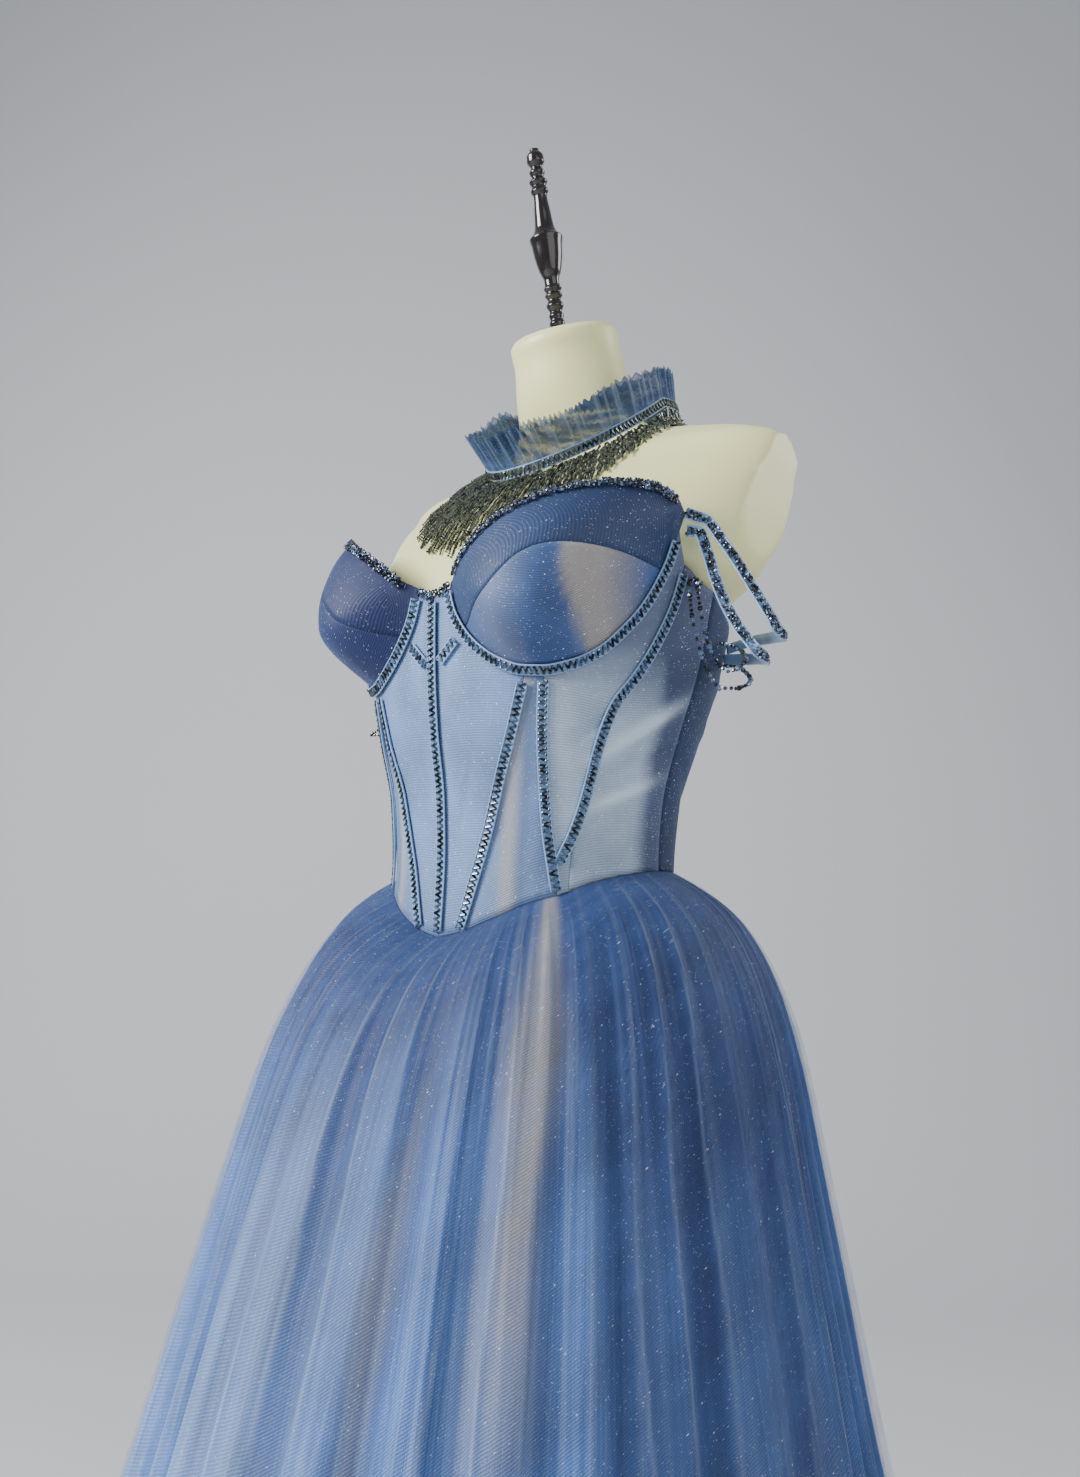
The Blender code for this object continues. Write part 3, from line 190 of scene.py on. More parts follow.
# Choker: a loose collar ring that lies tilted on the neck base
CHOKER_HALF_WIDTH = 0.0819
CHOKER_FRONT_REACH = 0.0945
CHOKER_BACK_REACH = 0.0778
CHOKER_MIDDLE_Y = 0.0471
CHOKER_MIDDLE_Z = 1.4490
CHOKER_FRONT_SLOPE = 0.785
CHOKER_BACK_SLOPE = 0.254
CHOKER_UPRIGHT = (0.0, -0.60, 0.80)
CHOKER_BAND_WIDTH = 8.6 * MM
CHOKER_BAND_DEPTH = 2.0 * MM
# The frill's two layers: waves round the ring, sway, share of the height
FRILL_LAYERS = ((36, 3.2 * MM, 1.0), (51, 2.6 * MM, 0.93))
RUFFLE_HEIGHT = [(0, 0.031), (60, 0.030), (110, 0.027), (180, 0.025)]
RUFFLE_FLARE = 0.12
FRINGE_STRANDS = 336
FRINGE_LENGTH = [(0, 0.108), (20, 0.100), (45, 0.080), (70, 0.052), (90, 0.034), (110, 0.026), (180, 0.020)]
FRINGE_BUGLE_WIDTH = 1.6 * MM
# Where a strand starts, below the band and behind its face; steps down it, and reach of the slope under it
FRINGE_START = 1.5 * MM
FRINGE_BEHIND = 0.4 * MM
FRINGE_STEP = 0.5 * MM
FRINGE_REACH = 8 * MM
# Height over the form, pull of the slope sideways, and the steepest fall for each metre across
FRINGE_LIFT = 4.6 * MM
FRINGE_FALL = 1.6
FRINGE_STEEPEST = 3.0

# Off-shoulder straps and bead strands of the left side: where each is sewn on, and its free route
SLEEVE_CENTRE = (0.100, 0.030)
STRAPS = {
    "upper_strap": {"front": (70.5, 1.3080), "back": (122, 1.233), "route": [
        (0.1738, -0.0380, 1.3029), (0.1870, -0.0375, 1.2852), (0.1995, -0.0370, 1.2662),
        (0.2101, -0.0370, 1.2486), (0.2206, -0.0380, 1.2320), (0.2275, -0.0375, 1.2195),
        (0.2290, -0.0280, 1.2139), (0.2189, -0.0080, 1.2180), (0.1984, 0.0200, 1.2250),
        (0.1786, 0.0450, 1.2310), (0.1560, 0.0660, 1.2360)]},
    "lower_strap": {"front": (72.5, 1.2960), "back": (112, 1.220), "route": [
        (0.1690, -0.0425, 1.2945), (0.1775, -0.0420, 1.2765), (0.1850, -0.0435, 1.2563),
        (0.1943, -0.0450, 1.2356), (0.2069, -0.0480, 1.2163), (0.2175, -0.0480, 1.2025),
        (0.2210, -0.0400, 1.1974), (0.2140, -0.0220, 1.1990), (0.1990, 0.0000, 1.2050),
        (0.1810, 0.0220, 1.2110), (0.1640, 0.0420, 1.2160)]},
}
# The right sleeve hangs further back and closer in: how far its lowest part moves in x and y
RIGHT_SWING = (-0.012, 0.046)
RIGHT_SWING_START = 0.014
RIGHT_SWING_HEIGHT = 0.050
STRAP_WIDTH = 9.0 * MM
STRAP_DEPTH = 1.6 * MM
STRANDS = {
    "outer_strand": {"front": (81.0, 1.2652), "back": (106, 1.213), "route": [
        (0.1635, -0.0440, 1.2560), (0.1700, -0.0500, 1.2308), (0.1789, -0.0550, 1.2072),
        (0.1891, -0.0600, 1.1863), (0.2005, -0.0610, 1.1738), (0.2075, -0.0550, 1.1740),
        (0.2080, -0.0420, 1.1780), (0.2020, -0.0240, 1.1850), (0.1900, -0.0040, 1.1930),
        (0.1760, 0.0140, 1.2010), (0.1630, 0.0300, 1.2080)]},
    "inner_strand": {"front": (84.0, 1.2637), "back": (101, 1.228), "route": [
        (0.1665, -0.0390, 1.2600), (0.1747, -0.0455, 1.2330), (0.1823, -0.0495, 1.2106),
        (0.1915, -0.0520, 1.1944), (0.1995, -0.0505, 1.1872), (0.2030, -0.0440, 1.1900),
        (0.2010, -0.0320, 1.1960), (0.1940, -0.0160, 1.2030), (0.1840, 0.0010, 1.2100),
        (0.1730, 0.0140, 1.2170), (0.1620, 0.0240, 1.2230)]},
}
STRAND_RADIUS = 1.7 * MM

# Back lacing: flat satin ribbon crossing between the back edges, tied in a bow
LACING_RUNGS = (1.1560, 1.1780, 1.2000)
LACING_RISE = 0.018
LACING_REACH_U = 11.0
RIBBON_WIDTH = 6.0 * MM
RIBBON_DEPTH = 0.5 * MM
BOW_Z = 1.141
BOW_LIFT = 2.0 * MM
BOW_LOOP = 0.052
BOW_LOOP_DROP = 0.016
BOW_LOOP_HEIGHT = 0.020
BOW_TAIL = 0.075

# Colours read off the photograph, as sRGB hex
COLOUR_FIELDS = (
    ("net_front", "Front net", "Pale net of the front panels", "#81A2D4"),
    # The side net is made paler, as painted light, and the back net darker, as painted shade: one net in lit
    # and shaded tones
    ("net_side", "Side net", "Net of the side panels", "#C4DAF2"),
    ("net_back", "Back net", "Deeper net of the back panels", "#1B3260"),
    ("cup_upper", "Upper cup", "Dark net of the upper cups", "#3A5682"),
    ("cup_lower", "Lower cup", "Net of the lower cups", "#5577B4"),
    ("skirt", "Skirt tulle", "Glitter tulle of the skirt", "#5A8CDC"),
    # Also the colour of the painted highlights on fold crests, on the side panels' creases and on the skirt's
    # lit front left
    ("skirt_edge", "Fold edge", "Light edges of the tulle's folds", "#CFE4F2"),
    ("nude", "Nude lining", "Lining that shows through the tulle", "#C6BCA6"),
    ("satin", "Blue satin", "Bands, straps, lacing and bow", "#8DB2DC"),
    ("ruffle", "Ruffle tulle", "See-through frill of the choker", "#3F6496"),
    ("bead", "Dark bead", "Gunmetal crystals", "#0E1522"),
    ("bugle", "Bugle bead", "Blue grey bugles", "#6F8CAE"),
    ("olive", "Olive bead", "Grey green bugles of the fringe", "#7C846C"),
    ("form", "Dress form", "Cream shell of the dress form", "#FAFAB8"),
    ("wood", "Finial", "Near black turned wood", "#150D0A"),
    ("steel", "Stand", "Black stand", "#15161A"),
    # Also the colour of painted shade: in the skirt's valleys, towards its back and under the waist, under
    # the arms and cups, and on the far cup
    ("deep_blue", "Deep blue", "Tulle where its layers lie close together", "#0C1E58"),
    ("floor", "Floor", "Pale plain floor", "#DADBDD"),
)
SIZE_FIELDS = (
    ("bugle_length", "Bugle length", "Length of the bugles on the bands", 5.2 * MM),
    ("bugle_width", "Bugle width", "Thickness of a bugle", 1.7 * MM),
    ("crystal", "Crystal", "Largest crystal on the neckline and straps", 3.2 * MM),
    ("seed", "Seed bead", "Small round bead of the fringe", 2.3 * MM),
    ("dot_spacing", "Glitter spacing", "Distance between the net's glitter dots", 7.5 * MM),
    ("rib_spacing", "Rib spacing", "Distance between the net's fine ribs", 1.9 * MM),
)

# Skirt folds finer than the solid's: number round the skirt, height at the waist, height at the hem
FINE_FOLDS = [(53, 2.6 * MM, 6.0 * MM), (97, 1.8 * MM, 2.4 * MM), (173, 0.9 * MM, 0.6 * MM)]
FOLD_START = 0.030
SKIRT_ROWS = 110
SKIRT_COLUMNS_PER_DEGREE = 2.0
# Places where the nude lining shows: u, width, depth where it fades, strength
NUDE_STREAKS = [(43, 4.4, 0.27, 1.40), (20, 2.4, 0.45, 0.60), (37, 1.6, 0.4, 0.22), (-4, 4.0, 0.7, 0.25)]
# Depth over which the gathers at the waist open out and the painted shade under the bodice fades
GATHER_DEPTH = 0.13
VEIL_OUT = 3.2 * MM
VEIL_FOLDS = 43
CLOTH_FINENESS = 4
PIPE_RADIUS = 0.75 * MM
STRAND_BEAD = 3.9 * MM
# Bugles of the zigzag: step along the band and length, as shares of a bugle and of the way between two turns
BUGLE_PITCH = 0.42
BUGLE_SHARE = 0.86
BUGLE_SIDES = 5
ZIGZAG_REACH = 2.3 * MM
TURN_CRYSTAL = 2.3 * MM
# Crystals on a square metre of the neckline and of the straps
NECK_CRYSTALS = 5.5e5
STRAP_CRYSTALS = 4.2e5
# Soft creases of the bodice: u, z, half length, half width, tilt in degrees, height
CREASES = [
    (62, 1.165, 0.034, 0.0040, 38, -3.2 * MM), (70, 1.150, 0.040, 0.0055, 33, 4.2 * MM),
    (76, 1.128, 0.036, 0.0050, 28, -3.6 * MM), (68, 1.105, 0.030, 0.0048, 20, 3.6 * MM),
    (80, 1.090, 0.030, 0.0042, 12, -1.1 * MM), (26, 1.075, 0.024, 0.0036, -24, -0.8 * MM),
    (30, 1.118, 0.022, 0.0034, -30, 0.7 * MM), (9, 1.100, 0.026, 0.0034, 74, -0.7 * MM),
    (108, 1.120, 0.038, 0.0046, -26, -1.2 * MM), (124, 1.160, 0.040, 0.0046, -20, 1.0 * MM),
    (140, 1.095, 0.034, 0.0046, -12, -1.2 * MM), (118, 1.200, 0.034, 0.0044, -24, 0.9 * MM),
]

# Dart of dark cloth under the lower cup's net, bottom to top: z, left and right edge in degrees
CUP_DART = [(1.200, 33.7, 47.5), (1.208, 35.5, 48.0), (1.229, 39.2, 48.5), (1.261, 39.8, 44.5)]
# Width of the dart's soft edge in degrees
DART_EDGE = 2.2

# Lines down the tulle's folds: how close across and down, strength of the dark and of the light ones
TULLE_LINES = ((0.16, 1.6, 0.50, 0.15), (0.75, 2.2, 0.34, 0.13), (3.0, 3.0, 0.24, 0.10))
# Distance between the waves of Blender's wave texture at scale 1
WAVE_PERIOD = 0.314
# Glitter: where a dot begins and is full, as shares of its cell; small dots are this many times closer
BIG_DOT_EDGE = (0.072, 0.045)
SMALL_DOT_EDGE = (0.15, 0.08)
SMALL_DOTS = 3.1
SMALL_DOT_SHARE = 0.6
# Colour of the dots, of the painted glint that glows from them and of the net's sheen, as linear values
FOIL = (0.95, 0.97, 1.0, 1)
PAINTED_GLINT = (0.85, 0.92, 1.0, 1)
SHEEN = (0.42, 0.62, 1.0, 1)

# Camera solved from the photograph
CAMERA_PLACE = (0.5664, -0.6982, 1.0395)
CAMERA_YAW = 39.37
CAMERA_PITCH = 7.63
CAMERA_ROLL = 1.49
CAMERA_LENS = 36 * 1095 / 1477

# Paper floor that bends up into a backdrop: half its width, then distances away from the camera and heights
PAPER_REACH = 8.0
PAPER_FRONT = -6.0
PAPER_BACK = 3.0
PAPER_TOP = 5.0
PAPER_BEND = 1.0
# Soft lights that shine on one place: name, place, size, watts
LIGHTS = (("key", (-1.3, -2.5, 2.3), 1.4, 165), ("fill", (2.4, -0.9, 1.6), 2.2, 21),
          ("rim", (1.6, 1.9, 2.4), 1.2, 26))
LIT_PLACE = (0, 0, 1.1)
SKY = (0.86, 0.90, 1.0, 1)
SKY_STRENGTH = 0.36


def smooth(xs, ys, x):
    """Value at x of the smooth curve through (xs, ys) that never overshoots a row."""
    xs, ys, x = (np.asarray(v, float) for v in (xs, ys, x))
    step = np.diff(xs)
    slope = np.diff(ys) / step
    tangent = np.zeros_like(ys)
    for i in range(1, len(xs) - 1):
        if slope[i - 1] * slope[i] > 0:
            after, before = 2 * step[i] + step[i - 1], step[i] + 2 * step[i - 1]
            tangent[i] = (after + before) / (after / slope[i - 1] + before / slope[i])
    tangent[0], tangent[-1] = slope[0], slope[-1]
    i = np.clip(np.searchsorted(xs, x) - 1, 0, len(step) - 1)
    t = np.clip((x - xs[i]) / step[i], 0, 1)
    start = (1 + 2 * t) * (1 - t) ** 2 * ys[i] + t * (1 - t) ** 2 * step[i] * tangent[i]
    end = t * t * (3 - 2 * t) * ys[i + 1] + t * t * (t - 1) * step[i] * tangent[i + 1]
    return start + end


def column(table, names, wanted, x):
    """The named column of a section table at x, where the first column is x."""
    rows = np.array(table, float)
    return smooth(rows[:, 0], rows[:, names.index(wanted)], x)


def rounded(value, power):
    return np.sign(value) * np.abs(value) ** power


def body_point(u, z):
    """Point of the plain bodice cloth, without cups."""
    angle = np.radians(u)
    side = column(BODICE_SECTIONS, BODICE_COLUMNS, "side", z)
    front = column(BODICE_SECTIONS, BODICE_COLUMNS, "front", z)
    back = column(BODICE_SECTIONS, BODICE_COLUMNS, "back", z)
    across, along = np.sin(angle), np.cos(angle)
    depth = np.where(along > 0, front, back)
    power = 2 / BODICE_ROUNDNESS
    return np.stack([side * rounded(across, power), -depth * rounded(along, power), z + 0 * across], -1)


def cup_bulge(u, z):
    """How far a cup stands out of the plain bodice, 0 to 1; it starts at the wire line."""
    wire = np.array(CUP_WIRE, float)
    above_wire = z - smooth(wire[:, 0], wire[:, 1], np.abs(u))
    across = np.clip(1 - ((np.abs(u) - CUP_MIDDLE_U) / CUP_HALF_WIDTH_U) ** 2, 0, None)
    lower = 1 - (1 - np.clip(above_wire / CUP_LOWER_HEIGHT, 0, 1)) ** 2
    upper = 1 - np.clip((z - CUP_FULL_Z) / CUP_RISE, 0, 1) ** 2
    return across * lower**CUP_LOWER_EASE * upper


def bodice_surface(u, z):
    """Outer face of the bodice with its cups."""
    u, z = np.asarray(u, float), np.asarray(z, float)
    bulge = CUP_DEPTH * cup_bulge(u, z)
    lean = np.stack([np.sign(u) * CUP_LEAN[0] * bulge, CUP_LEAN[1] * bulge, 0 * bulge], -1)
    return body_point(u, z) + lean


def bodice_normal(u, z):
    """Direction straight out of the bodice cloth."""
    step_u, step_z = 0.4, 0.8 * MM
    u, z = np.asarray(u, float), np.asarray(z, float)
    around = bodice_surface(u + step_u, z) - bodice_surface(u - step_u, z)
    up = bodice_surface(u, z + step_z) - bodice_surface(u, z - step_z)
    normal = np.cross(around, up)
    return normal / np.linalg.norm(normal, axis=-1, keepdims=True)


def off_bodice(u, z, out):
    return bodice_surface(u, z) + out * bodice_normal(u, z)


def unit(vectors):
    return vectors / np.linalg.norm(vectors, axis=-1, keepdims=True)


def lengths_along(route):
    """Distance from the start of a route to each of its points."""
    return np.concatenate([[0], np.cumsum(np.linalg.norm(np.diff(route, axis=0), axis=1))])


def trace(points, count):
    """count places evenly spaced along the smooth line through (u, z) points."""
    points = np.array(points, float)
    steps = np.hypot(np.diff(points[:, 0]) * METRES_PER_DEGREE, np.diff(points[:, 1]))
    along = np.concatenate([[0], np.cumsum(steps)])
    wanted = np.linspace(0, along[-1], count)
    return np.stack([smooth(along, points[:, 0], wanted), smooth(along, points[:, 1], wanted)], -1)


def patch(bottom, right, top, left):
    """Grid of places that fills the area between four lines (a Coons patch)."""
    s = np.linspace(0, 1, len(bottom))[None, :, None]
    t = np.linspace(0, 1, len(left))[:, None, None]
    across = (1 - t) * bottom[None] + t * top[None]
    up = (1 - s) * left[:, None] + s * right[:, None]
    corners = (1 - s) * (1 - t) * bottom[0] + s * (1 - t) * bottom[-1]
    corners = corners + (1 - s) * t * top[0] + s * t * top[-1]
    return across + up - corners


def inset(grid, gap):
    """Draws a piece of cloth back from its four edges by gap."""
    for lines in (grid, grid.swapaxes(0, 1)):
        for edge, beside in ((0, 1), (-1, -2)):
            lines[edge] += gap * unit(lines[beside] - lines[edge])


def mirrored(places, side):
    places = np.array(places, float)
    places[:, 0] *= side
    return places


def waist_z(u):
    rows = np.array(WAIST_SEAM, float)
    return smooth(rows[:, 0], rows[:, 1], np.abs(u))


def waist_line(start, end, count):
    u = np.linspace(start, end, count)
    return np.stack([u, waist_z(u)], -1)


def between(line, low, high, count):
    """The stretch of a seam from share low to share high of its length."""
    return trace(trace(line, 61)[int(round(low * 60)):int(round(high * 60)) + 1], count)


def join(*lines):
    """Lines end to end, each shared point once."""
    return np.vstack([line if n == 0 else line[1:] for n, line in enumerate(lines)])


def fold_wave(u):
    """Uneven round-and-round wave of the skirt's folds, about -1 to 1."""
    turn = np.radians(u)
    phase = FOLDS * turn + 1.5 * np.sin(3 * turn + 0.4) + 1.1 * np.sin(5 * turn + 2.0)
    broad = np.cos(9 * turn + 1.2 * np.sin(2 * turn + 1.0))
    return 0.72 * np.cos(phase) * (1 + 0.25 * np.sin(4 * turn + 0.7)) + 0.30 * broad


def skirt_point(u, depth, room_share, fold_share):
    """Point of a skirt layer at angle u, depth below the waist seam as at the side seam."""
    seam_z = waist_z(u)
    local = depth * (seam_z - SKIRT_HEM_Z) / (SIDE_WAIST_Z - SKIRT_HEM_Z)
    ease = np.clip(local / 0.25, 0, 1)
    level = local + (SIDE_WAIST_Z - seam_z) * ease * ease * (3 - 2 * ease)
    start = body_point(u, seam_z)[..., :2]
    reach = np.linalg.norm(start, axis=-1)
    first_radius = SKIRT_SECTIONS[0][1]
    radius = column(SKIRT_SECTIONS, SKIRT_COLUMNS, "radius", level)
    radius = radius + (reach - first_radius) * np.exp(-local / 0.04)
    radius = radius + fold_share * column(SKIRT_SECTIONS, SKIRT_COLUMNS, "fold", local) * fold_wave(u)
    radius = radius - room_share * column(SKIRT_SECTIONS, SKIRT_COLUMNS, "lining_room", local)
    flat = start / reach[..., None] * radius[..., None]
    flat[..., 1] -= SKIRT_FORWARD * np.clip(local / SKIRT_FORWARD_DEPTH, 0, 1)
    return np.concatenate([flat, (seam_z - local)[..., None]], -1)


def form_values(z):
    return {name: column(FORM_SECTIONS, FORM_COLUMNS, name, z) for name in FORM_COLUMNS[1:]}


def form_ring(z, count):
    """One section of the dress form, cut flat where the arm plates are."""
    at = form_values(z)
    turn = np.linspace(0, 2 * math.pi, count, endpoint=False)
    power = 2 / at["roundness"]
    across, along = rounded(np.sin(turn), power), rounded(np.cos(turn), power)
    depth = np.where(along > 0, at["middle"] - at["front"], at["back"] - at["middle"])
    y = at["middle"] - depth * along
    plate = ARM_PLATE_X - max(0.0, ARM_PLATE_LEVEL - z) * ARM_PLATE_SLOPE
    x = np.clip(at["side"] * across, -plate, plate)
    return np.stack([x, y, z + at["slope"] * (y - at["middle"])], -1)


def form_levels():
    """Finely spaced sections of the dress form's shoulders, straight between its rows."""
    z = np.linspace(1.22, 1.47, 501)
    rows = np.array(FORM_SECTIONS)
    return z, {name: np.interp(z, rows[:, 0], rows[:, n]) for n, name in enumerate(FORM_COLUMNS) if n}


def form_height(x, y, levels):
    """Height of the dress form's shoulders or chest above a place on plan."""
    z, at = levels
    depth = np.where(y < at["middle"], at["middle"] - at["front"], at["back"] - at["middle"])
    inside = np.abs(x / at["side"]) ** 2 + np.abs((y - at["middle"]) / depth) ** 2 < 1
    if not inside.any():
        return float(z[0])
    top = int(np.nonzero(inside)[0][-1])
    return float(z[top] + at["slope"][top] * (y - at["middle"][top]))


def choker_point(v, drop=0.0):
    """Point of the choker's ring at v degrees from its front, drop below it along the band's upright."""
    turn = np.radians(v)
    reach = np.where(np.cos(turn) > 0, CHOKER_FRONT_REACH, CHOKER_BACK_REACH)
    slope = np.where(np.cos(turn) > 0, CHOKER_FRONT_SLOPE, CHOKER_BACK_SLOPE)
    x = CHOKER_HALF_WIDTH * np.sin(turn)
    y = -reach * np.cos(turn)
    place = np.stack([x, y + CHOKER_MIDDLE_Y, CHOKER_MIDDLE_Z + slope * y], -1)
    return place - np.multiply.outer(np.asarray(drop, float), np.array(CHOKER_UPRIGHT))


def choker_out(v):
    """Direction out of the ring at v degrees, square to its upright."""
    step = choker_point(np.asarray(v) + 0.5) - choker_point(np.asarray(v) - 0.5)
    return unit(np.cross(step, np.array(CHOKER_UPRIGHT)))


def form_rise(x, y, reach, levels):
    """How much the dress form rises across and along, from reach before a place to reach past it."""
    across = form_height(x + reach, y, levels) - form_height(x - reach, y, levels)
    along = form_height(x, y + reach, levels) - form_height(x, y - reach, levels)
    return np.array([across, along])


def fringe_route(v, length, segments, levels):
    """A strand's way from under the band, over the chest or shoulder."""
    drop = CHOKER_BAND_WIDTH / 2 + SEAM_GAP + FRINGE_START
    place = choker_point(v, drop) - FRINGE_BEHIND * choker_out(v)
    outward = unit(choker_out(v)[:2])
    route = [place]
    spot = place.copy()
    for _ in range(segments):
        travelled = 0.0
        while travelled < length / segments:
            ahead = spot.copy()
            rising = form_rise(spot[0], spot[1], FRINGE_REACH, levels)
            away = unit(outward - FRINGE_FALL * rising / (2 * FRINGE_REACH))
            ahead[:2] += away * FRINGE_STEP
            resting = form_height(ahead[0], ahead[1], levels) + FRINGE_LIFT
            ahead[2] = max(min(spot[2], resting), spot[2] - FRINGE_STEEPEST * FRINGE_STEP)
            travelled += float(np.linalg.norm(ahead - spot))
            spot = ahead
        route.append(spot.copy())
    return np.array(route)


def swing_back(knots):
    """The left sleeve's route moved back and in where it hangs free, for the right sleeve."""
    top_z = knots[1, 2] - RIGHT_SWING_START
    share = np.clip((top_z - knots[:, 2]) / RIGHT_SWING_HEIGHT, 0, 1)
    lowest = int(np.argmin(knots[:, 2]))
    past = np.arange(len(knots)) - lowest
    share = share * np.clip(1 - past / (len(knots) - 1 - lowest), 0, 1)
    return knots + share[:, None] * np.array([*RIGHT_SWING, 0.0])


def sleeve_route(spec, side, lifts, count):
    """Evenly spaced points along a strap: sewn on at the front, free round the arm, sewn on at the back."""
    ends = [off_bodice(*spec[key], lift) for key, lift in zip(("front", "back"), lifts)]
    knots = np.vstack([ends[0], spec["route"], ends[1]])
    if side < 0:
        knots = swing_back(knots)
    along = lengths_along(knots)
    wanted = np.linspace(0, along[-1], count)
    route = np.stack([smooth(along, knots[:, i], wanted) for i in range(3)], -1)
    route[:, 0] *= side
    return route


def linear(hex_colour):
    """Linear colour of an sRGB hex string."""
    values = [int(hex_colour[i:i + 2], 16) / 255 for i in (1, 3, 5)]
    return tuple(v / 12.92 if v <= 0.04045 else ((v + 0.055) / 1.055) ** 2.4 for v in values) + (1.0,)


def settings():
    return bpy.context.scene.gown_sizes


def colour(name):
    return tuple(getattr(bpy.context.scene.gown_colours, name))


def add_node(tree, kind, inputs=None, **values):
    """A node with its settings, whose inputs are constants or links."""
    made = tree.nodes.new(kind)
    for key, value in values.items():
        setattr(made, key, value)
    for key, value in (inputs or {}).items():
        socket = made.inputs[key]
        if isinstance(value, bpy.types.NodeSocket):
            tree.links.new(value, socket)
        else:
            socket.default_value = value
    return made


def new_material(name):
    """An empty material with its Principled shader, and its tree."""
    made = bpy.data.materials.new(name)
    made.use_nodes = True
    tree = made.node_tree
    return made, tree, tree.nodes["Principled BSDF"]


def mix_colour(tree, factor, first, second):
    """The first colour at factor 0 and the second at factor 1."""
    made = add_node(tree, "ShaderNodeMix", {"Factor": factor}, data_type="RGBA")
    for key, value in ((6, first), (7, second)):
        if isinstance(value, bpy.types.NodeSocket):
            tree.links.new(value, made.inputs[key])
        else:
            made.inputs[key].default_value = value
    return made.outputs[2]


def maths(tree, operation, first, second=0.0):
    made = add_node(tree, "ShaderNodeMath", {0: first, 1: second}, operation=operation)
    return made.outputs[0]


def spread(tree, value, low, high, out_low=0.0, out_high=1.0):
    """Value from low to high, spread over out_low to out_high and held there."""
    made = add_node(tree, "ShaderNodeMapRange", {"Value": value, "From Min": low, "From Max": high,
                                                 "To Min": out_low, "To Max": out_high})
    return made.outputs[0]


def point_value(tree, name):
    """A value that the mesh's points carry."""
    return add_node(tree, "ShaderNodeAttribute", attribute_name=name).outputs["Fac"]


def darker(base, share):
    return tuple(share * c for c in base[:3]) + (1.0,)


def tulle_layers(tree, tone):
    """Soft and thin lines down the folds, where more or fewer layers of tulle lie over each other."""
    turn, fall = point_value(tree, "turn"), point_value(tree, "fall")
    deep, pale = colour("deep_blue"), colour("skirt_edge")
    for across, down, dark, light in TULLE_LINES:
        x, y = maths(tree, "MULTIPLY", turn, across), maths(tree, "MULTIPLY", fall, down)
        place = add_node(tree, "ShaderNodeCombineXYZ", {0: x, 1: y}).outputs[0]
        noise = add_node(tree, "ShaderNodeTexNoise", {"Vector": place, "Scale": 1.0, "Detail": 1.0})
        lines = noise.outputs[0]
        tone = mix_colour(tree, spread(tree, lines, 0.50, 0.32, 0.0, dark), tone, deep)
        tone = mix_colour(tree, spread(tree, lines, 0.54, 0.70, 0.0, light), tone, pale)
        off_line = maths(tree, "ABSOLUTE", maths(tree, "SUBTRACT", lines, 0.5))
        tone = mix_colour(tree, spread(tree, off_line, 0.0, 0.02, light, 0.0), tone, pale)
    return tone
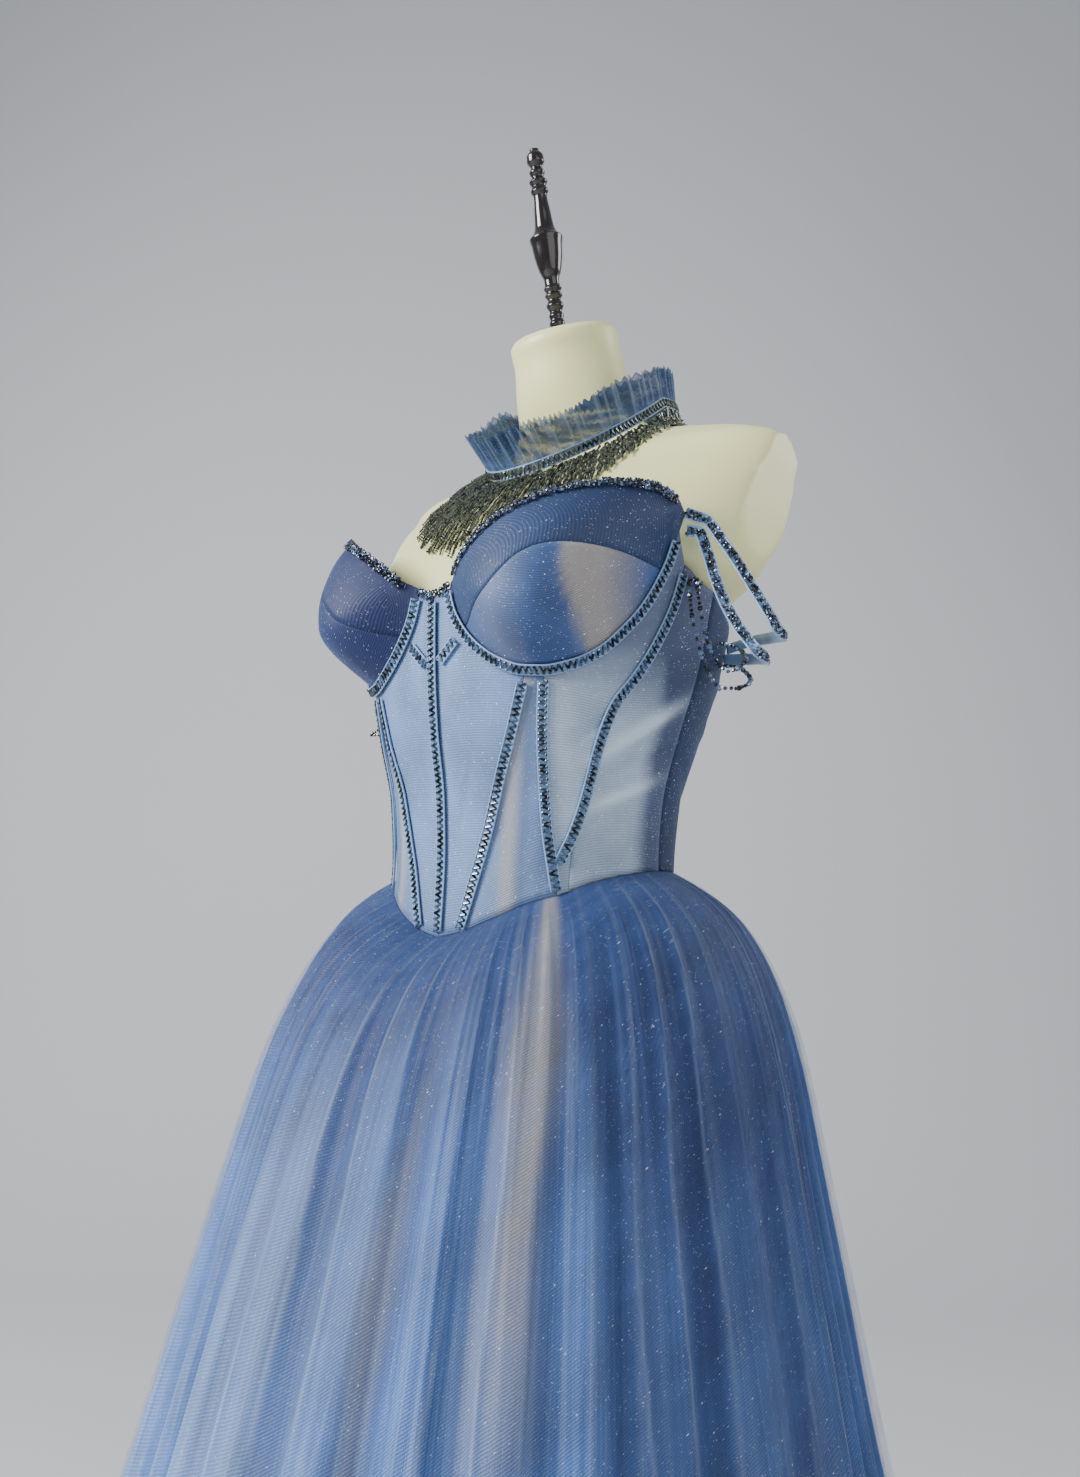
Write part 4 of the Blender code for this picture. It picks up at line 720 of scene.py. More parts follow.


# Glitter net: its fine ribs break the highlight up into a soft blue sheen, and its dots twinkle with a
# painted glint that glows. In the photograph the ribs are a grain too fine to show, so they are drawn coarser
# here, at rib_spacing.
def glitter_cloth(name, base, rib_turn=0.0, rib_depth=0.5, dots=1.0, alpha=1.0, second=None, rib_share=1.0,
                  cloud_depth=0.62, layered=False):
    """Ribbed net with sparse glitter, toned by the values of the cloth's points, painted shade and highlights
    among them.
    """
    made, tree, shader = new_material(name)
    spacing = settings().dot_spacing
    place = add_node(tree, "ShaderNodeUVMap").outputs[0]
    rib_way = (0, 0, math.radians(rib_turn))
    turned = add_node(tree, "ShaderNodeMapping", {"Vector": place, "Rotation": rib_way})
    wave_inputs = {"Vector": turned.outputs[0], "Distortion": 1.2, "Detail": 2.0, "Detail Scale": 6.0,
                   "Scale": WAVE_PERIOD / (settings().rib_spacing * rib_share)}
    waves = add_node(tree, "ShaderNodeTexWave", wave_inputs, wave_type="BANDS", bands_direction="Y")
    ribs = waves.outputs[1]
    clouds = add_node(tree, "ShaderNodeTexNoise", {"Vector": place, "Scale": 14.0, "Detail": 4.0})
    big_cells = add_node(tree, "ShaderNodeTexVoronoi", {"Vector": place, "Scale": 1 / spacing}, feature="F1")
    small_cells = add_node(tree, "ShaderNodeTexVoronoi", {"Vector": place, "Scale": SMALL_DOTS / spacing},
                           feature="F1")
    big_dot = spread(tree, big_cells.outputs["Distance"], *BIG_DOT_EDGE)
    small_dot = spread(tree, small_cells.outputs["Distance"], *SMALL_DOT_EDGE, 0.0, SMALL_DOT_SHARE)
    dot = maths(tree, "MULTIPLY", maths(tree, "MAXIMUM", big_dot, small_dot), dots)
    tone = mix_colour(tree, spread(tree, clouds.outputs[0], 0.35, 0.68), darker(base, cloud_depth), base)
    if layered:
        tone = tulle_layers(tree, tone)
    if second is not None:
        tone = mix_colour(tree, point_value(tree, "streak"), tone, second)
    # Painted shade, and the dark cloth of the cup's dart: toward deep blue by the points' shade value
    tone = mix_colour(tree, point_value(tree, "shade"), tone, colour("deep_blue"))
    ribbed = mix_colour(tree, spread(tree, ribs, 0.2, 0.8, 0.0, rib_depth), tone, (0, 0, 0, 1))
    tone = mix_colour(tree, 0.5, tone, ribbed)
    # Painted highlights: toward the pale colour where the points' edge value is high
    tone = mix_colour(tree, point_value(tree, "edge"), tone, colour("skirt_edge"))
    tree.links.new(mix_colour(tree, dot, tone, FOIL), shader.inputs["Base Color"])
    bump = add_node(tree, "ShaderNodeBump", {"Height": ribs, "Strength": 0.35, "Distance": 0.4 * MM})
    tree.links.new(bump.outputs[0], shader.inputs["Normal"])
    tree.links.new(spread(tree, dot, 0, 1, 0.62, 0.18), shader.inputs["Roughness"])
    # Painted glint: the glitter dots glow a little, though they are no lamp
    shader.inputs["Emission Color"].default_value = PAINTED_GLINT
    tree.links.new(maths(tree, "MULTIPLY", dot, 0.35), shader.inputs["Emission Strength"])
    shader.inputs["Sheen Weight"].default_value = 0.25
    shader.inputs["Sheen Roughness"].default_value = 0.4
    shader.inputs["Sheen Tint"].default_value = SHEEN
    if alpha < 1:
        holes = add_node(tree, "ShaderNodeTexNoise", {"Vector": place, "Scale": 60.0, "Detail": 2.0})
        cover = spread(tree, holes.outputs[0], 0.3, 0.7, alpha * 0.7, min(1.0, alpha * 1.3))
        tree.links.new(cover, shader.inputs["Alpha"])
    return made


# Polyester satin: its long floating threads give a soft, broad highlight
def satin(name, base):
    """Satin ribbon with slightly uneven threads."""
    made, tree, shader = new_material(name)
    place = add_node(tree, "ShaderNodeTexCoord").outputs["Object"]
    noise = add_node(tree, "ShaderNodeTexNoise", {"Vector": place, "Scale": 90.0, "Detail": 3.0})
    clouds = noise.outputs[0]
    tree.links.new(mix_colour(tree, clouds, darker(base, 0.75), base), shader.inputs["Base Color"])
    bump = add_node(tree, "ShaderNodeBump", {"Height": clouds, "Strength": 0.25, "Distance": 0.3 * MM})
    tree.links.new(bump.outputs[0], shader.inputs["Normal"])
    shader.inputs["Roughness"].default_value = 0.36
    shader.inputs["Sheen Weight"].default_value = 0.3
    shader.inputs["Anisotropic"].default_value = 0.4
    return made


# Cut glass with a thin metal coat: dark facets with sharp sparkles
def glass_bead(name, dark, light, darkest=0.45):
    """Cut glass beads, each with its own tone; those under the share darkest are fully dark."""
    made, tree, shader = new_material(name)
    share = spread(tree, point_value(tree, "tint"), darkest, 1.0)
    tree.links.new(mix_colour(tree, share, dark, light), shader.inputs["Base Color"])
    shader.inputs["Roughness"].default_value = 0.12
    shader.inputs["Metallic"].default_value = 0.55
    shader.inputs["Coat Weight"].default_value = 0.8
    shader.inputs["Coat Roughness"].default_value = 0.05
    return made


def plain(name, base, roughness, coat=0.0, mottle=0.06, scale=9.0):
    """A surface of one tone, with faint clouds in its colour and gloss."""
    made, tree, shader = new_material(name)
    place = add_node(tree, "ShaderNodeTexCoord").outputs["Object"]
    noise = add_node(tree, "ShaderNodeTexNoise", {"Vector": place, "Scale": scale, "Detail": 5.0})
    clouds = noise.outputs[0]
    tree.links.new(mix_colour(tree, clouds, darker(base, 1 - 2 * mottle), base), shader.inputs["Base Color"])
    gloss = spread(tree, clouds, 0.3, 0.7, roughness * 0.85, roughness * 1.15)
    tree.links.new(gloss, shader.inputs["Roughness"])
    shader.inputs["Coat Weight"].default_value = coat
    shader.inputs["Coat Roughness"].default_value = 0.2
    return made


def link(made):
    bpy.context.scene.collection.objects.link(made)
    return made


def dress(made, slot, *nodes):
    """The finished piece rides on the gown's one body and stands for its CAD nodes."""
    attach(made, "root")
    if nodes:
        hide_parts(*nodes)
    return made


def mesh_object(name, points, faces, finish, uv=None, values=None):
    """A mesh object with smooth faces, a UV for each point and named values for each point."""
    mesh = bpy.data.meshes.new(name)
    mesh.from_pydata([tuple(p) for p in points], [], faces)
    if uv is not None:
        layer = mesh.uv_layers.new(name="UVMap")
        corners = np.zeros(len(mesh.loops), int)
        mesh.loops.foreach_get("vertex_index", corners)
        layer.data.foreach_set("uv", np.asarray(uv, float)[corners].ravel())
    for key, numbers in (values or {}).items():
        layer = mesh.attributes.new(key, "FLOAT", "POINT")
        layer.data.foreach_set("value", np.asarray(numbers, float).ravel())
    mesh.shade_smooth()
    mesh.materials.append(finish)
    return link(bpy.data.objects.new(name, mesh))


def grid_faces(rows, columns, ring=False, flip=False):
    """Faces of a grid of points; in a ring the last column meets the first one."""
    last = columns if ring else columns - 1
    i, j = np.meshgrid(np.arange(rows - 1), np.arange(last), indexing="ij")
    k = (j + 1) % columns
    corners = [i * columns + j, i * columns + k, (i + 1) * columns + k, (i + 1) * columns + j]
    faces = np.stack(corners, -1).reshape(-1, 4)
    return (faces[:, ::-1] if flip else faces).tolist()


def closed_faces(rows, columns):
    """Faces of a stack of rings, with a cap on each end."""
    faces = grid_faces(rows, columns, ring=True)
    return faces + [list(range(columns))[::-1], [(rows - 1) * columns + i for i in range(columns)]]


def grid_lengths(points):
    """Distance along each row and down each column of a grid, in metres."""
    across = np.linalg.norm(np.diff(points, axis=1), axis=-1)
    down = np.linalg.norm(np.diff(points, axis=0), axis=-1)
    s = np.concatenate([np.zeros((len(points), 1)), np.cumsum(across, 1)], 1)
    t = np.concatenate([np.zeros((1, points.shape[1])), np.cumsum(down, 0)], 0)
    return s, t


def cloth(name, outer, finish, thickness=0.0, values=None, flip=False):
    """A sheet of cloth through a grid of points, with its measured cut as its UV."""
    rows, columns = outer.shape[:2]
    s, t = grid_lengths(outer)
    uv = np.stack([s, t], -1).reshape(-1, 2)
    made = mesh_object(name, outer.reshape(-1, 3), grid_faces(rows, columns, flip=flip), finish, uv, values)
    if thickness:
        wall = made.modifiers.new("Thickness", "SOLIDIFY")
        wall.thickness = thickness
        wall.offset = -1.0
        wall.use_rim = True
    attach(made, "root")
    return made


def bead_shape(name, finish, round_bead):
    """One bead of unit size along +Z: a faceted tube, or a faceted ball."""
    body = bmesh.new()
    if round_bead:
        bmesh.ops.create_icosphere(body, subdivisions=1, radius=0.5)
    else:
        bmesh.ops.create_cone(body, cap_ends=True, segments=BUGLE_SIDES, radius1=0.5, radius2=0.5, depth=1.0)
    mesh = bpy.data.meshes.new(name)
    body.to_mesh(mesh)
    body.free()
    mesh.materials.append(finish)
    return bpy.data.objects.new(name, mesh)


def bead_tree(name, bead, finish, seed):
    """Geometry Nodes that set one bead on every point, turned and sized by the points' values."""
    tree = bpy.data.node_groups.new(name, "GeometryNodeTree")
    tree.interface.new_socket("Geometry", in_out="INPUT", socket_type="NodeSocketGeometry")
    size_input = tree.interface.new_socket("Size", in_out="INPUT", socket_type="NodeSocketFloat")
    size_input.default_value = 1.0
    tree.interface.new_socket("Geometry", in_out="OUTPUT", socket_type="NodeSocketGeometry")
    source = add_node(tree, "NodeGroupInput")
    aim = add_node(tree, "GeometryNodeInputNamedAttribute", {"Name": "aim"}, data_type="FLOAT_VECTOR")
    size = add_node(tree, "GeometryNodeInputNamedAttribute", {"Name": "size"}, data_type="FLOAT_VECTOR")
    shade = add_node(tree, "FunctionNodeRandomValue", {"Seed": seed}, data_type="FLOAT")
    tinted = add_node(tree, "GeometryNodeStoreNamedAttribute",
                      {"Geometry": source.outputs[0], "Name": "tint", "Value": shade.outputs[1]},
                      data_type="FLOAT", domain="POINT")
    turned = add_node(tree, "FunctionNodeAlignRotationToVector", {"Vector": aim.outputs[0]}, axis="Z")
    scaled = add_node(tree, "ShaderNodeVectorMath", {0: size.outputs[0], "Scale": source.outputs[1]},
                      operation="SCALE")
    shape = add_node(tree, "GeometryNodeObjectInfo", {"Object": bead})
    beads = add_node(tree, "GeometryNodeInstanceOnPoints",
                     {"Points": tinted.outputs[0], "Instance": shape.outputs["Geometry"],
                      "Rotation": turned.outputs[0], "Scale": scaled.outputs[0]})
    solid = add_node(tree, "GeometryNodeRealizeInstances", {"Geometry": beads.outputs[0]})
    painted = add_node(tree, "GeometryNodeSetMaterial", {"Geometry": solid.outputs[0], "Material": finish})
    add_node(tree, "NodeGroupOutput", {0: painted.outputs[0]})
    return tree


def sew_beads(name, points, aims, sizes, finish, round_bead=False, seed=1):
    """Many beads as one mesh: at each point a bead along aim, of (width, width, length)."""
    bead = bead_shape(f"{name}_bead", finish, round_bead)
    mesh = bpy.data.meshes.new(name)
    mesh.from_pydata([tuple(p) for p in points], [], [])
    for key, rows in (("aim", aims), ("size", sizes)):
        layer = mesh.attributes.new(key, "FLOAT_VECTOR", "POINT")
        layer.data.foreach_set("vector", np.asarray(rows, float).ravel())
    holder = link(bpy.data.objects.new(f"{name}_points", mesh))
    grow = holder.modifiers.new("Beads", "NODES")
    grow.node_group = bead_tree(name, bead, finish, seed)
    shown = bpy.context.evaluated_depsgraph_get()
    grown = bpy.data.meshes.new_from_object(holder.evaluated_get(shown))
    bpy.data.objects.remove(holder)
    bpy.data.objects.remove(bead)
    if len(grown.polygons) == 0:
        raise RuntimeError(f"{name} grew no beads")
    return link(bpy.data.objects.new(name, grown))


def sweep(name, route, facing, profile, finish):
    """A closed profile of (across, out) places swept along a route, with capped ends."""
    along = unit(np.gradient(route, axis=0))
    across = unit(np.cross(along, facing))
    facing = unit(np.cross(across, along))
    profile = np.array(profile, float)
    points = route[:, None] + profile[None, :, :1] * across[:, None] + profile[None, :, 1:] * facing[:, None]
    count = len(profile)
    lengths = lengths_along(route)[:, None]
    uv = np.stack(np.broadcast_arrays(lengths, np.cumsum(np.ones(count))[None] * 2 * MM), -1)
    faces = closed_faces(len(route), count)
    made = mesh_object(name, points.reshape(-1, 3), faces, finish, uv.reshape(-1, 2))
    body = bmesh.new()
    body.from_mesh(made.data)
    bmesh.ops.recalc_face_normals(body, faces=body.faces)
    body.to_mesh(made.data)
    body.free()
    return made


def piped_profile(width, depth, pipe):
    """Band section: a flat face between two piped edges."""
    half = width / 2
    right = [(half - pipe + pipe * math.cos(a), pipe * math.sin(a) + depth / 2 - pipe)
             for a in np.radians([-90, -45, 0, 45, 90, 135])]
    left = [(-x, y) for x, y in reversed(right)]
    face = [(half - 2 * pipe, depth / 2 - 0.9 * pipe), (-half + 2 * pipe, depth / 2 - 0.9 * pipe)]
    return [(half - pipe, -depth / 2)] + right[1:] + face + left[:-1] + [(-half + pipe, -depth / 2)]


def ribbon_profile(width, depth):
    """Section of a flat ribbon with thin edges."""
    half = width / 2
    return [(half, 0), (half * 0.9, depth / 2), (0, depth / 2), (-half * 0.9, depth / 2),
            (-half, 0), (-half * 0.9, -depth / 2), (0, -depth / 2), (half * 0.9, -depth / 2)]


def resample(route, facing, step):
    """A route and its facings at an even step."""
    along = lengths_along(route)
    wanted = np.linspace(0, along[-1], max(2, int(round(along[-1] / step)) + 1))
    pick = [np.stack([smooth(along, rows[:, i], wanted) for i in range(3)], -1) for rows in (route, facing)]
    return pick[0], unit(pick[1])


def zigzag_beads(name, route, facing, out, finish):
    """Bugles in a zigzag along a band, with a crystal at each turn."""
    sizes = settings()
    route, facing = resample(route, facing, sizes.bugle_length * BUGLE_PITCH)
    along = unit(np.gradient(route, axis=0))
    across = unit(np.cross(along, facing))
    side = np.where(np.arange(len(route)) % 2, 1.0, -1.0)[:, None]
    turns = route + side * ZIGZAG_REACH * across + out * facing
    bugle_at = (turns[1:] + turns[:-1]) / 2
    bugle_aim = unit(turns[1:] - turns[:-1])
    width = sizes.bugle_width
    spans = np.linalg.norm(turns[1:] - turns[:-1], axis=1) * BUGLE_SHARE
    bugle_size = np.stack([0 * spans + width, 0 * spans + width, spans], -1)
    bugles = sew_beads(f"{name}_bugles", bugle_at, bugle_aim, bugle_size, finish, seed=3)
    dots = np.full((len(turns), 3), TURN_CRYSTAL)
    crystals = sew_beads(f"{name}_crystals", turns, facing, dots, finish, round_bead=True, seed=4)
    return [bugles, crystals]


def crystal_cluster(name, route, facing, width, out, density, finish, seed):
    """Crystals of mixed sizes set close together over a strip."""
    random = np.random.default_rng(seed)
    largest = settings().crystal
    length = float(np.linalg.norm(np.diff(route, axis=0), axis=1).sum())
    count = int(density * length * width)
    fine_route, fine_facing = resample(route, facing, 1.0 * MM)
    along = unit(np.gradient(fine_route, axis=0))
    across = unit(np.cross(along, fine_facing))
    spot = random.integers(0, len(fine_route), count)
    shift = random.uniform(-0.5, 0.5, (count, 1)) * width
    size = largest * random.uniform(0.45, 1.0, count)
    points = fine_route[spot] + shift * across[spot] + (out + 0.15 * size)[:, None] * fine_facing[spot]
    aims = unit(fine_facing[spot] + random.normal(0, 0.35, (count, 3)))
    sizes = np.stack([size, size, 0.7 * size], -1)
    return sew_beads(name, points, aims, sizes, finish, round_bead=True, seed=seed)


def crease_height(u, z):
    """Soft troughs and ridges pressed into the bodice cloth."""
    height = np.zeros(np.broadcast(u, z).shape)
    for at_u, at_z, half_length, half_width, tilt, depth in CREASES:
        turn = math.radians(tilt)
        x = (np.abs(u) - at_u) * METRES_PER_DEGREE
        y = z - at_z
        along = x * math.cos(turn) + y * math.sin(turn)
        aside = -x * math.sin(turn) + y * math.cos(turn)
        height = height + depth * np.exp(-(along / half_length) ** 2 - (aside / half_width) ** 2)
    return height


def near(value, middle, width):
    """1 at the middle, falling softly to 0 on both sides."""
    return np.exp(-((value - middle) / width) ** 2)


def rise(value, start, span):
    """0 up to start, 1 from start + span on."""
    return np.clip((value - start) / span, 0, 1)


def lower_cup_tones(u, z, lit):
    """Tones round the dart of dark cloth; on the far cup little of the nude lining is lit, and painted shade
    darkens it.
    """
    levels, left, right = zip(*CUP_DART)
    dart_left, dart_right = np.interp(z, levels, left), np.interp(z, levels, right)
    inside = rise(u, dart_left, DART_EDGE) * np.clip((dart_right - u) / DART_EDGE, 0, 1)
    beyond = rise(u, dart_right, DART_EDGE) * np.clip((66 - u) / 10, 0, 1)
    before = np.clip((dart_left - u) / DART_EDGE, 0, 1) * near(u, 27, 9)
    # The far cup is darkened as painted shade
    return {"shade": 0.17 * inside + 0.12 + 1.3 * (1 - lit), "streak": lit * (0.74 * beyond + 0.16 * before)}


def panel_tones(name, u, z):
    """Where the net lies over dark cloth (shade) or over the nude lining (streak); shade also holds painted
    shade, edge painted highlights.
    """
    u = np.abs(u)
    none = np.zeros(u.shape)
    far = name.endswith("right")
    if name.startswith("side_panel"):
        # Side panel: painted highlights on the crease ridges, painted shade under the arm and towards the
        # back
        crease_highlight = np.clip(crease_height(u, z) / (3 * MM), 0, 1) * 0.95
        dark = 0.85 * np.clip(rise(z, 1.165, 0.045) + rise(u, 76, 7), 0, 1)
        return {"shade": dark, "streak": none, "edge": crease_highlight}
    if name.startswith("under_cup"):
        # Painted shade under the cup
        return {"shade": 0.7 * rise(z, 1.175, 0.04), "streak": none}
    if name.startswith("side_front"):
        lean = u - 31 - (z - 1.05) * 20
        dark = 0.28 * near(lean, 0, 2.2) + 0.22 * near(lean, 8, 1.6)
        return {"shade": dark, "streak": 0.5 * near(lean, -5, 3.5)}
    if name.startswith("lower_cup"):
        return lower_cup_tones(u, z, 0.4 if far else 1.0)
    if name.startswith("upper_cup"):
        # Painted shade on the far cup; darker towards the neckline
        return {"shade": 0.18 + (0.66 if far else 0.08) + 0.3 * rise(z, 1.28, 0.04), "streak": none}
    return {"shade": none, "streak": none}


def panel(name, lines, side, finish, creases=1.0):
    """A piece of bodice cloth between four seam lines: bottom, right, top and left."""
    grid = patch(*(mirrored(line, side) for line in lines))
    u, z = grid[..., 0], grid[..., 1]
    height = creases * crease_height(u, z)
    rim = np.ones(u.shape)
    rim[[0, -1]] = 0
    rim[:, [0, -1]] = 0
    outer = bodice_surface(u, z) + (height * rim)[..., None] * bodice_normal(u, z)
    inset(outer, SEAM_GAP / 2)
    turned = np.cross(outer[0, 1] - outer[0, 0], outer[1, 0] - outer[0, 0]) @ bodice_normal(u[0, 0], z[0, 0])
    return cloth(name, outer, finish, NET_WALL, values=panel_tones(name, u, z), flip=bool(turned < 0))


def fine(count):
    """Points along a seam that the CAD part draws with count points."""
    return (count - 1) * CLOTH_FINENESS + 1


def wire_stretches():
    """The wire line in five stretches that bodice and cup pieces share."""
    line = trace(CUP_WIRE, 961)
    stops = [0.0, CUP_SEAM_START_U, PRINCESS_SEAM[-1][0], SIDE_FRONT_SEAM[-1][0], CUP_SEAM_END_U, 90.0]
    marks = [int(np.argmin(np.abs(line[:, 0] - u))) for u in stops]
    counts = (3, 6, 5, 5, 3)
    return [trace(line[low:high + 1], fine(count)) for low, high, count in zip(marks, marks[1:], counts)]


def build_bodice_half(side_name, side, net):
    """The five panels and the two cup pieces of one side."""
    front_rows, side_rows, across = fine(7), fine(13), fine(5)
    start, inner, middle, outer, end = wire_stretches()
    inner_wire = np.vstack([[CENTRE_SEAM[-1]], join(start, inner)])
    centre, princess = trace(CENTRE_SEAM, front_rows), trace(PRINCESS_SEAM, front_rows)
    side_front, underarm = trace(SIDE_FRONT_SEAM, front_rows), trace(UNDERARM_SEAM, side_rows)
    side_seam, back_edge = trace(SIDE_SEAM, side_rows), trace(BACK_EDGE, side_rows)
    round_cup = trace(join(side_front, outer, end), fine(13) + 8)
    beside_cup = trace(UNDERARM_SEAM, len(round_cup))
    over_cup = trace([round_cup[-1], beside_cup[-1]], across)
    armhole, back_top = trace(ARMHOLE, fine(6)), trace(BACK_TOP, fine(8))
    panels = (
        ("centre_front", "front", (waist_line(0, 8, len(inner_wire)), princess, inner_wire, centre)),
        ("side_front", "front", (waist_line(8, 45, len(middle)), side_front, middle, princess)),
        ("under_cup", "side", (waist_line(45, 49.5, across), beside_cup, over_cup, round_cup)),
        ("side", "side", (waist_line(49.5, 90, fine(6)), side_seam, armhole, underarm)),
        ("back", "back", (waist_line(90, 173, fine(8)), back_edge, back_top, side_seam)),
    )
    for name, net_name, lines in panels:
        made = panel(f"{name}_panel_{side_name}", lines, side, net[net_name])
        dress(made, "bodice_net", f"bodice_{name}_{side_name}")
    lower_wire = join(inner, middle, outer)
    cup_seam = trace(CUP_SEAM, len(lower_wire))
    upper_edge = np.vstack([start, cup_seam, end])
    cups = (("lower", lower_wire, cup_seam, fine(5)),
            ("upper", upper_edge, trace(NECKLINE, len(upper_edge)), fine(4)))
    for name, bottom, top, count in cups:
        left, right = (trace([bottom[i], top[i]], count) for i in (0, -1))
        made = panel(f"{name}_cup_{side_name}", (bottom, right, top, left), side, net[name], creases=0.0)
        dress(made, "cup_net", f"cup_{name}_{side_name}")


def build_bodice():
    nude = colour("nude")
    net = {
        "front": glitter_cloth("front_net", colour("net_front"), 0, 0.5, 0.9, second=nude),
        # Side net paler as painted light, back net darker as painted shade
        "side": glitter_cloth("lit_side_net", colour("net_side"), 8, 0.5, 0.9),
        "back": glitter_cloth("shaded_back_net", colour("net_back"), 38, 0.6, 1.0),
        "upper": glitter_cloth("upper_cup_net", colour("cup_upper"), 42, 0.6, 0.7),
        "lower": glitter_cloth("lower_cup_net", colour("cup_lower"), 4, 0.5, 1.0, second=nude),
    }
    for side_name, side in SIDES.items():
        build_bodice_half(side_name, side, net)
    z = trace(BACK_EDGE, 33)[:, 1] + np.linspace(0.2, -3.0, 33) * MM
    grid_u, grid_z = np.meshgrid(np.linspace(161.2, 198.8, 25), z)
    behind = off_bodice(grid_u, grid_z, -BODICE_CLOTH - 1.3 * MM)[:, ::-1]
    made = cloth("modesty_panel", behind, net["back"], 0.5 * MM, flip=True)
    dress(made, "bodice_net", "back_modesty_panel")


def fold_detail(u, local):
    """Height of the folds finer than the solid's, and how close each place is to a fold's edge, where a
    painted highlight goes.
    """
    grow = np.clip(local / FOLD_START, 0, 1) ** 0.6
    share = np.clip(local / 1.0, 0, 1)
    turn = np.radians(u)
    height, edge = np.zeros(u.shape), np.zeros(u.shape)
    for n, (number, waist, hem) in enumerate(FINE_FOLDS):
        drift = 0.9 * np.sin(7 * turn + n) + 0.7 * np.sin(3.1 * local * 6 + 4 * turn + 2 * n)
        wave = np.cos(number * turn + drift)
        crest = ((1 + wave) / 2) ** 3
        patchy = 0.55 + 0.45 * np.sin(11 * turn + 5 * local + 1.3 * n)
        height = height + (waist + (hem - waist) * share) * crest * patchy
        # Painted highlight along the crests of the broadest folds
        if n == 0:
            edge = np.clip((wave - 0.95) / 0.05, 0, 1) * patchy * np.clip(1.6 - local / 0.5, 0.35, 1)
    return grow * height, grow * edge


def skirt_grid(start, end, columns_share=1.0, rows=SKIRT_ROWS):
    """Angles, depths and points of a gore's outer face, with its rows closer near the waist."""
    count = int((end - start) * SKIRT_COLUMNS_PER_DEGREE * columns_share) + 1
    depths = SKIRT_DEPTH * np.linspace(0, 1, rows) ** 1.35
    u, depth = np.meshgrid(np.linspace(start, end, count), depths)
    return u, depth, skirt_point(u, depth, 0, 1)


def tulle_tones(u, depth, edge):
    """Painted highlights, nude lining, and deep blue of close gathers and painted shade on the tulle, and its
    angle and depth for the lines down the folds.
    """
    turn = np.radians(u)
    streak = np.clip(np.sin(9 * turn + 1.2) * np.sin(4 * turn + 2.6 * depth + 0.6), 0, 1) * 0.10
    streak = streak * np.clip(depth / 0.15, 0, 1)
    for middle, width, low, share in NUDE_STREAKS:
        drift = middle - 5.0 * np.clip(depth / 0.2, 0, 1)
        uneven = width * (1 + 0.3 * np.sin(31 * depth + middle))
        streak = streak + share * near(u, drift, uneven) * np.clip(1.3 - depth / low, 0, 1)
    wave = fold_wave(u)
    # Painted shade in the valleys of the folds
    valley_shade = np.clip(0.25 - 0.75 * wave, 0, 1) * np.clip(depth / 0.05, 0, 1)
    # Painted highlight on the lit front left, strongest on the fold crests
    front_left = near(u, -22, 26) * rise(depth, 0.10, 0.25)
    pale = 0.24 * front_left * np.clip(0.5 + 0.6 * wave, 0, 1)
    # Darker near the waist: the gathers lie close there, and painted shade falls under the bodice
    gathered = np.exp(-(depth / GATHER_DEPTH) ** 1.5) * (1.6 - 1.35 * near(u, 42, 6))
    # Painted shade on the side turned away from the key light, towards the back
    rear_shade = rise(u, 30, 40)
    shade = np.clip((0.72 + 0.25 * rear_shade) * gathered + 0.32 * valley_shade + 0.56 * rear_shade, 0, 0.96)
    return {"edge": edge * 0.17 + pale, "streak": np.clip(streak, 0, 0.92), "shade": shade,
            "turn": u, "fall": depth}


def build_skirt():
    tulle = glitter_cloth("skirt_tulle", colour("skirt"), 38, 0.75, 0.55, second=colour("nude"),
                          rib_share=1.25, cloud_depth=0.7, layered=True)
    veil = glitter_cloth("skirt_veil", colour("skirt"), -45, 0.3, 0.5, alpha=0.16)
    for gore, (start, end) in GORES.items():
        name = f"skirt_{gore}"
        u, depth, points = skirt_grid(start, end)
        height, edge = fold_detail(u, depth)
        points = points + (height - 0.8 * MM)[..., None] * unit(points * [1, 1, 0])
        made = cloth(f"{name}_tulle", points, tulle,
                     values=tulle_tones(u, depth, edge))
        dress(made, "skirt_net", name)
        u, depth, points = skirt_grid(start, end, columns_share=0.6, rows=60)
        wave = np.cos(VEIL_FOLDS * np.radians(u) + 1.3 * np.sin(5 * np.radians(u)) + 2 * depth)
        grow = np.clip(depth / 0.12, 0, 1)
        lift = grow * (VEIL_OUT + 2.4 * MM * wave) + 0.9 * MM
        points = points + lift[..., None] * unit(points * [1, 1, 0])
        # Painted highlights along the crests of the veil's waves
        made = cloth(f"{name}_veil", points, veil,
                     values={"edge": 0.25 * np.clip(wave - 0.8, 0, 1) * 5})
        dress(made, "skirt_net")
    # Polyester lining: half matt and even
    lining = plain("lining_satin", colour("nude"), 0.5)
    for gore, (start, end) in GORES.items():
        u, depth = np.meshgrid(np.linspace(start, end, (end - start) // 3 + 1), np.linspace(0.002, 1.034, 24))
        made = cloth(f"lining_{gore}_satin", skirt_point(u, depth, 1, 0), lining)
        dress(made, "lining", f"lining_{gore}")


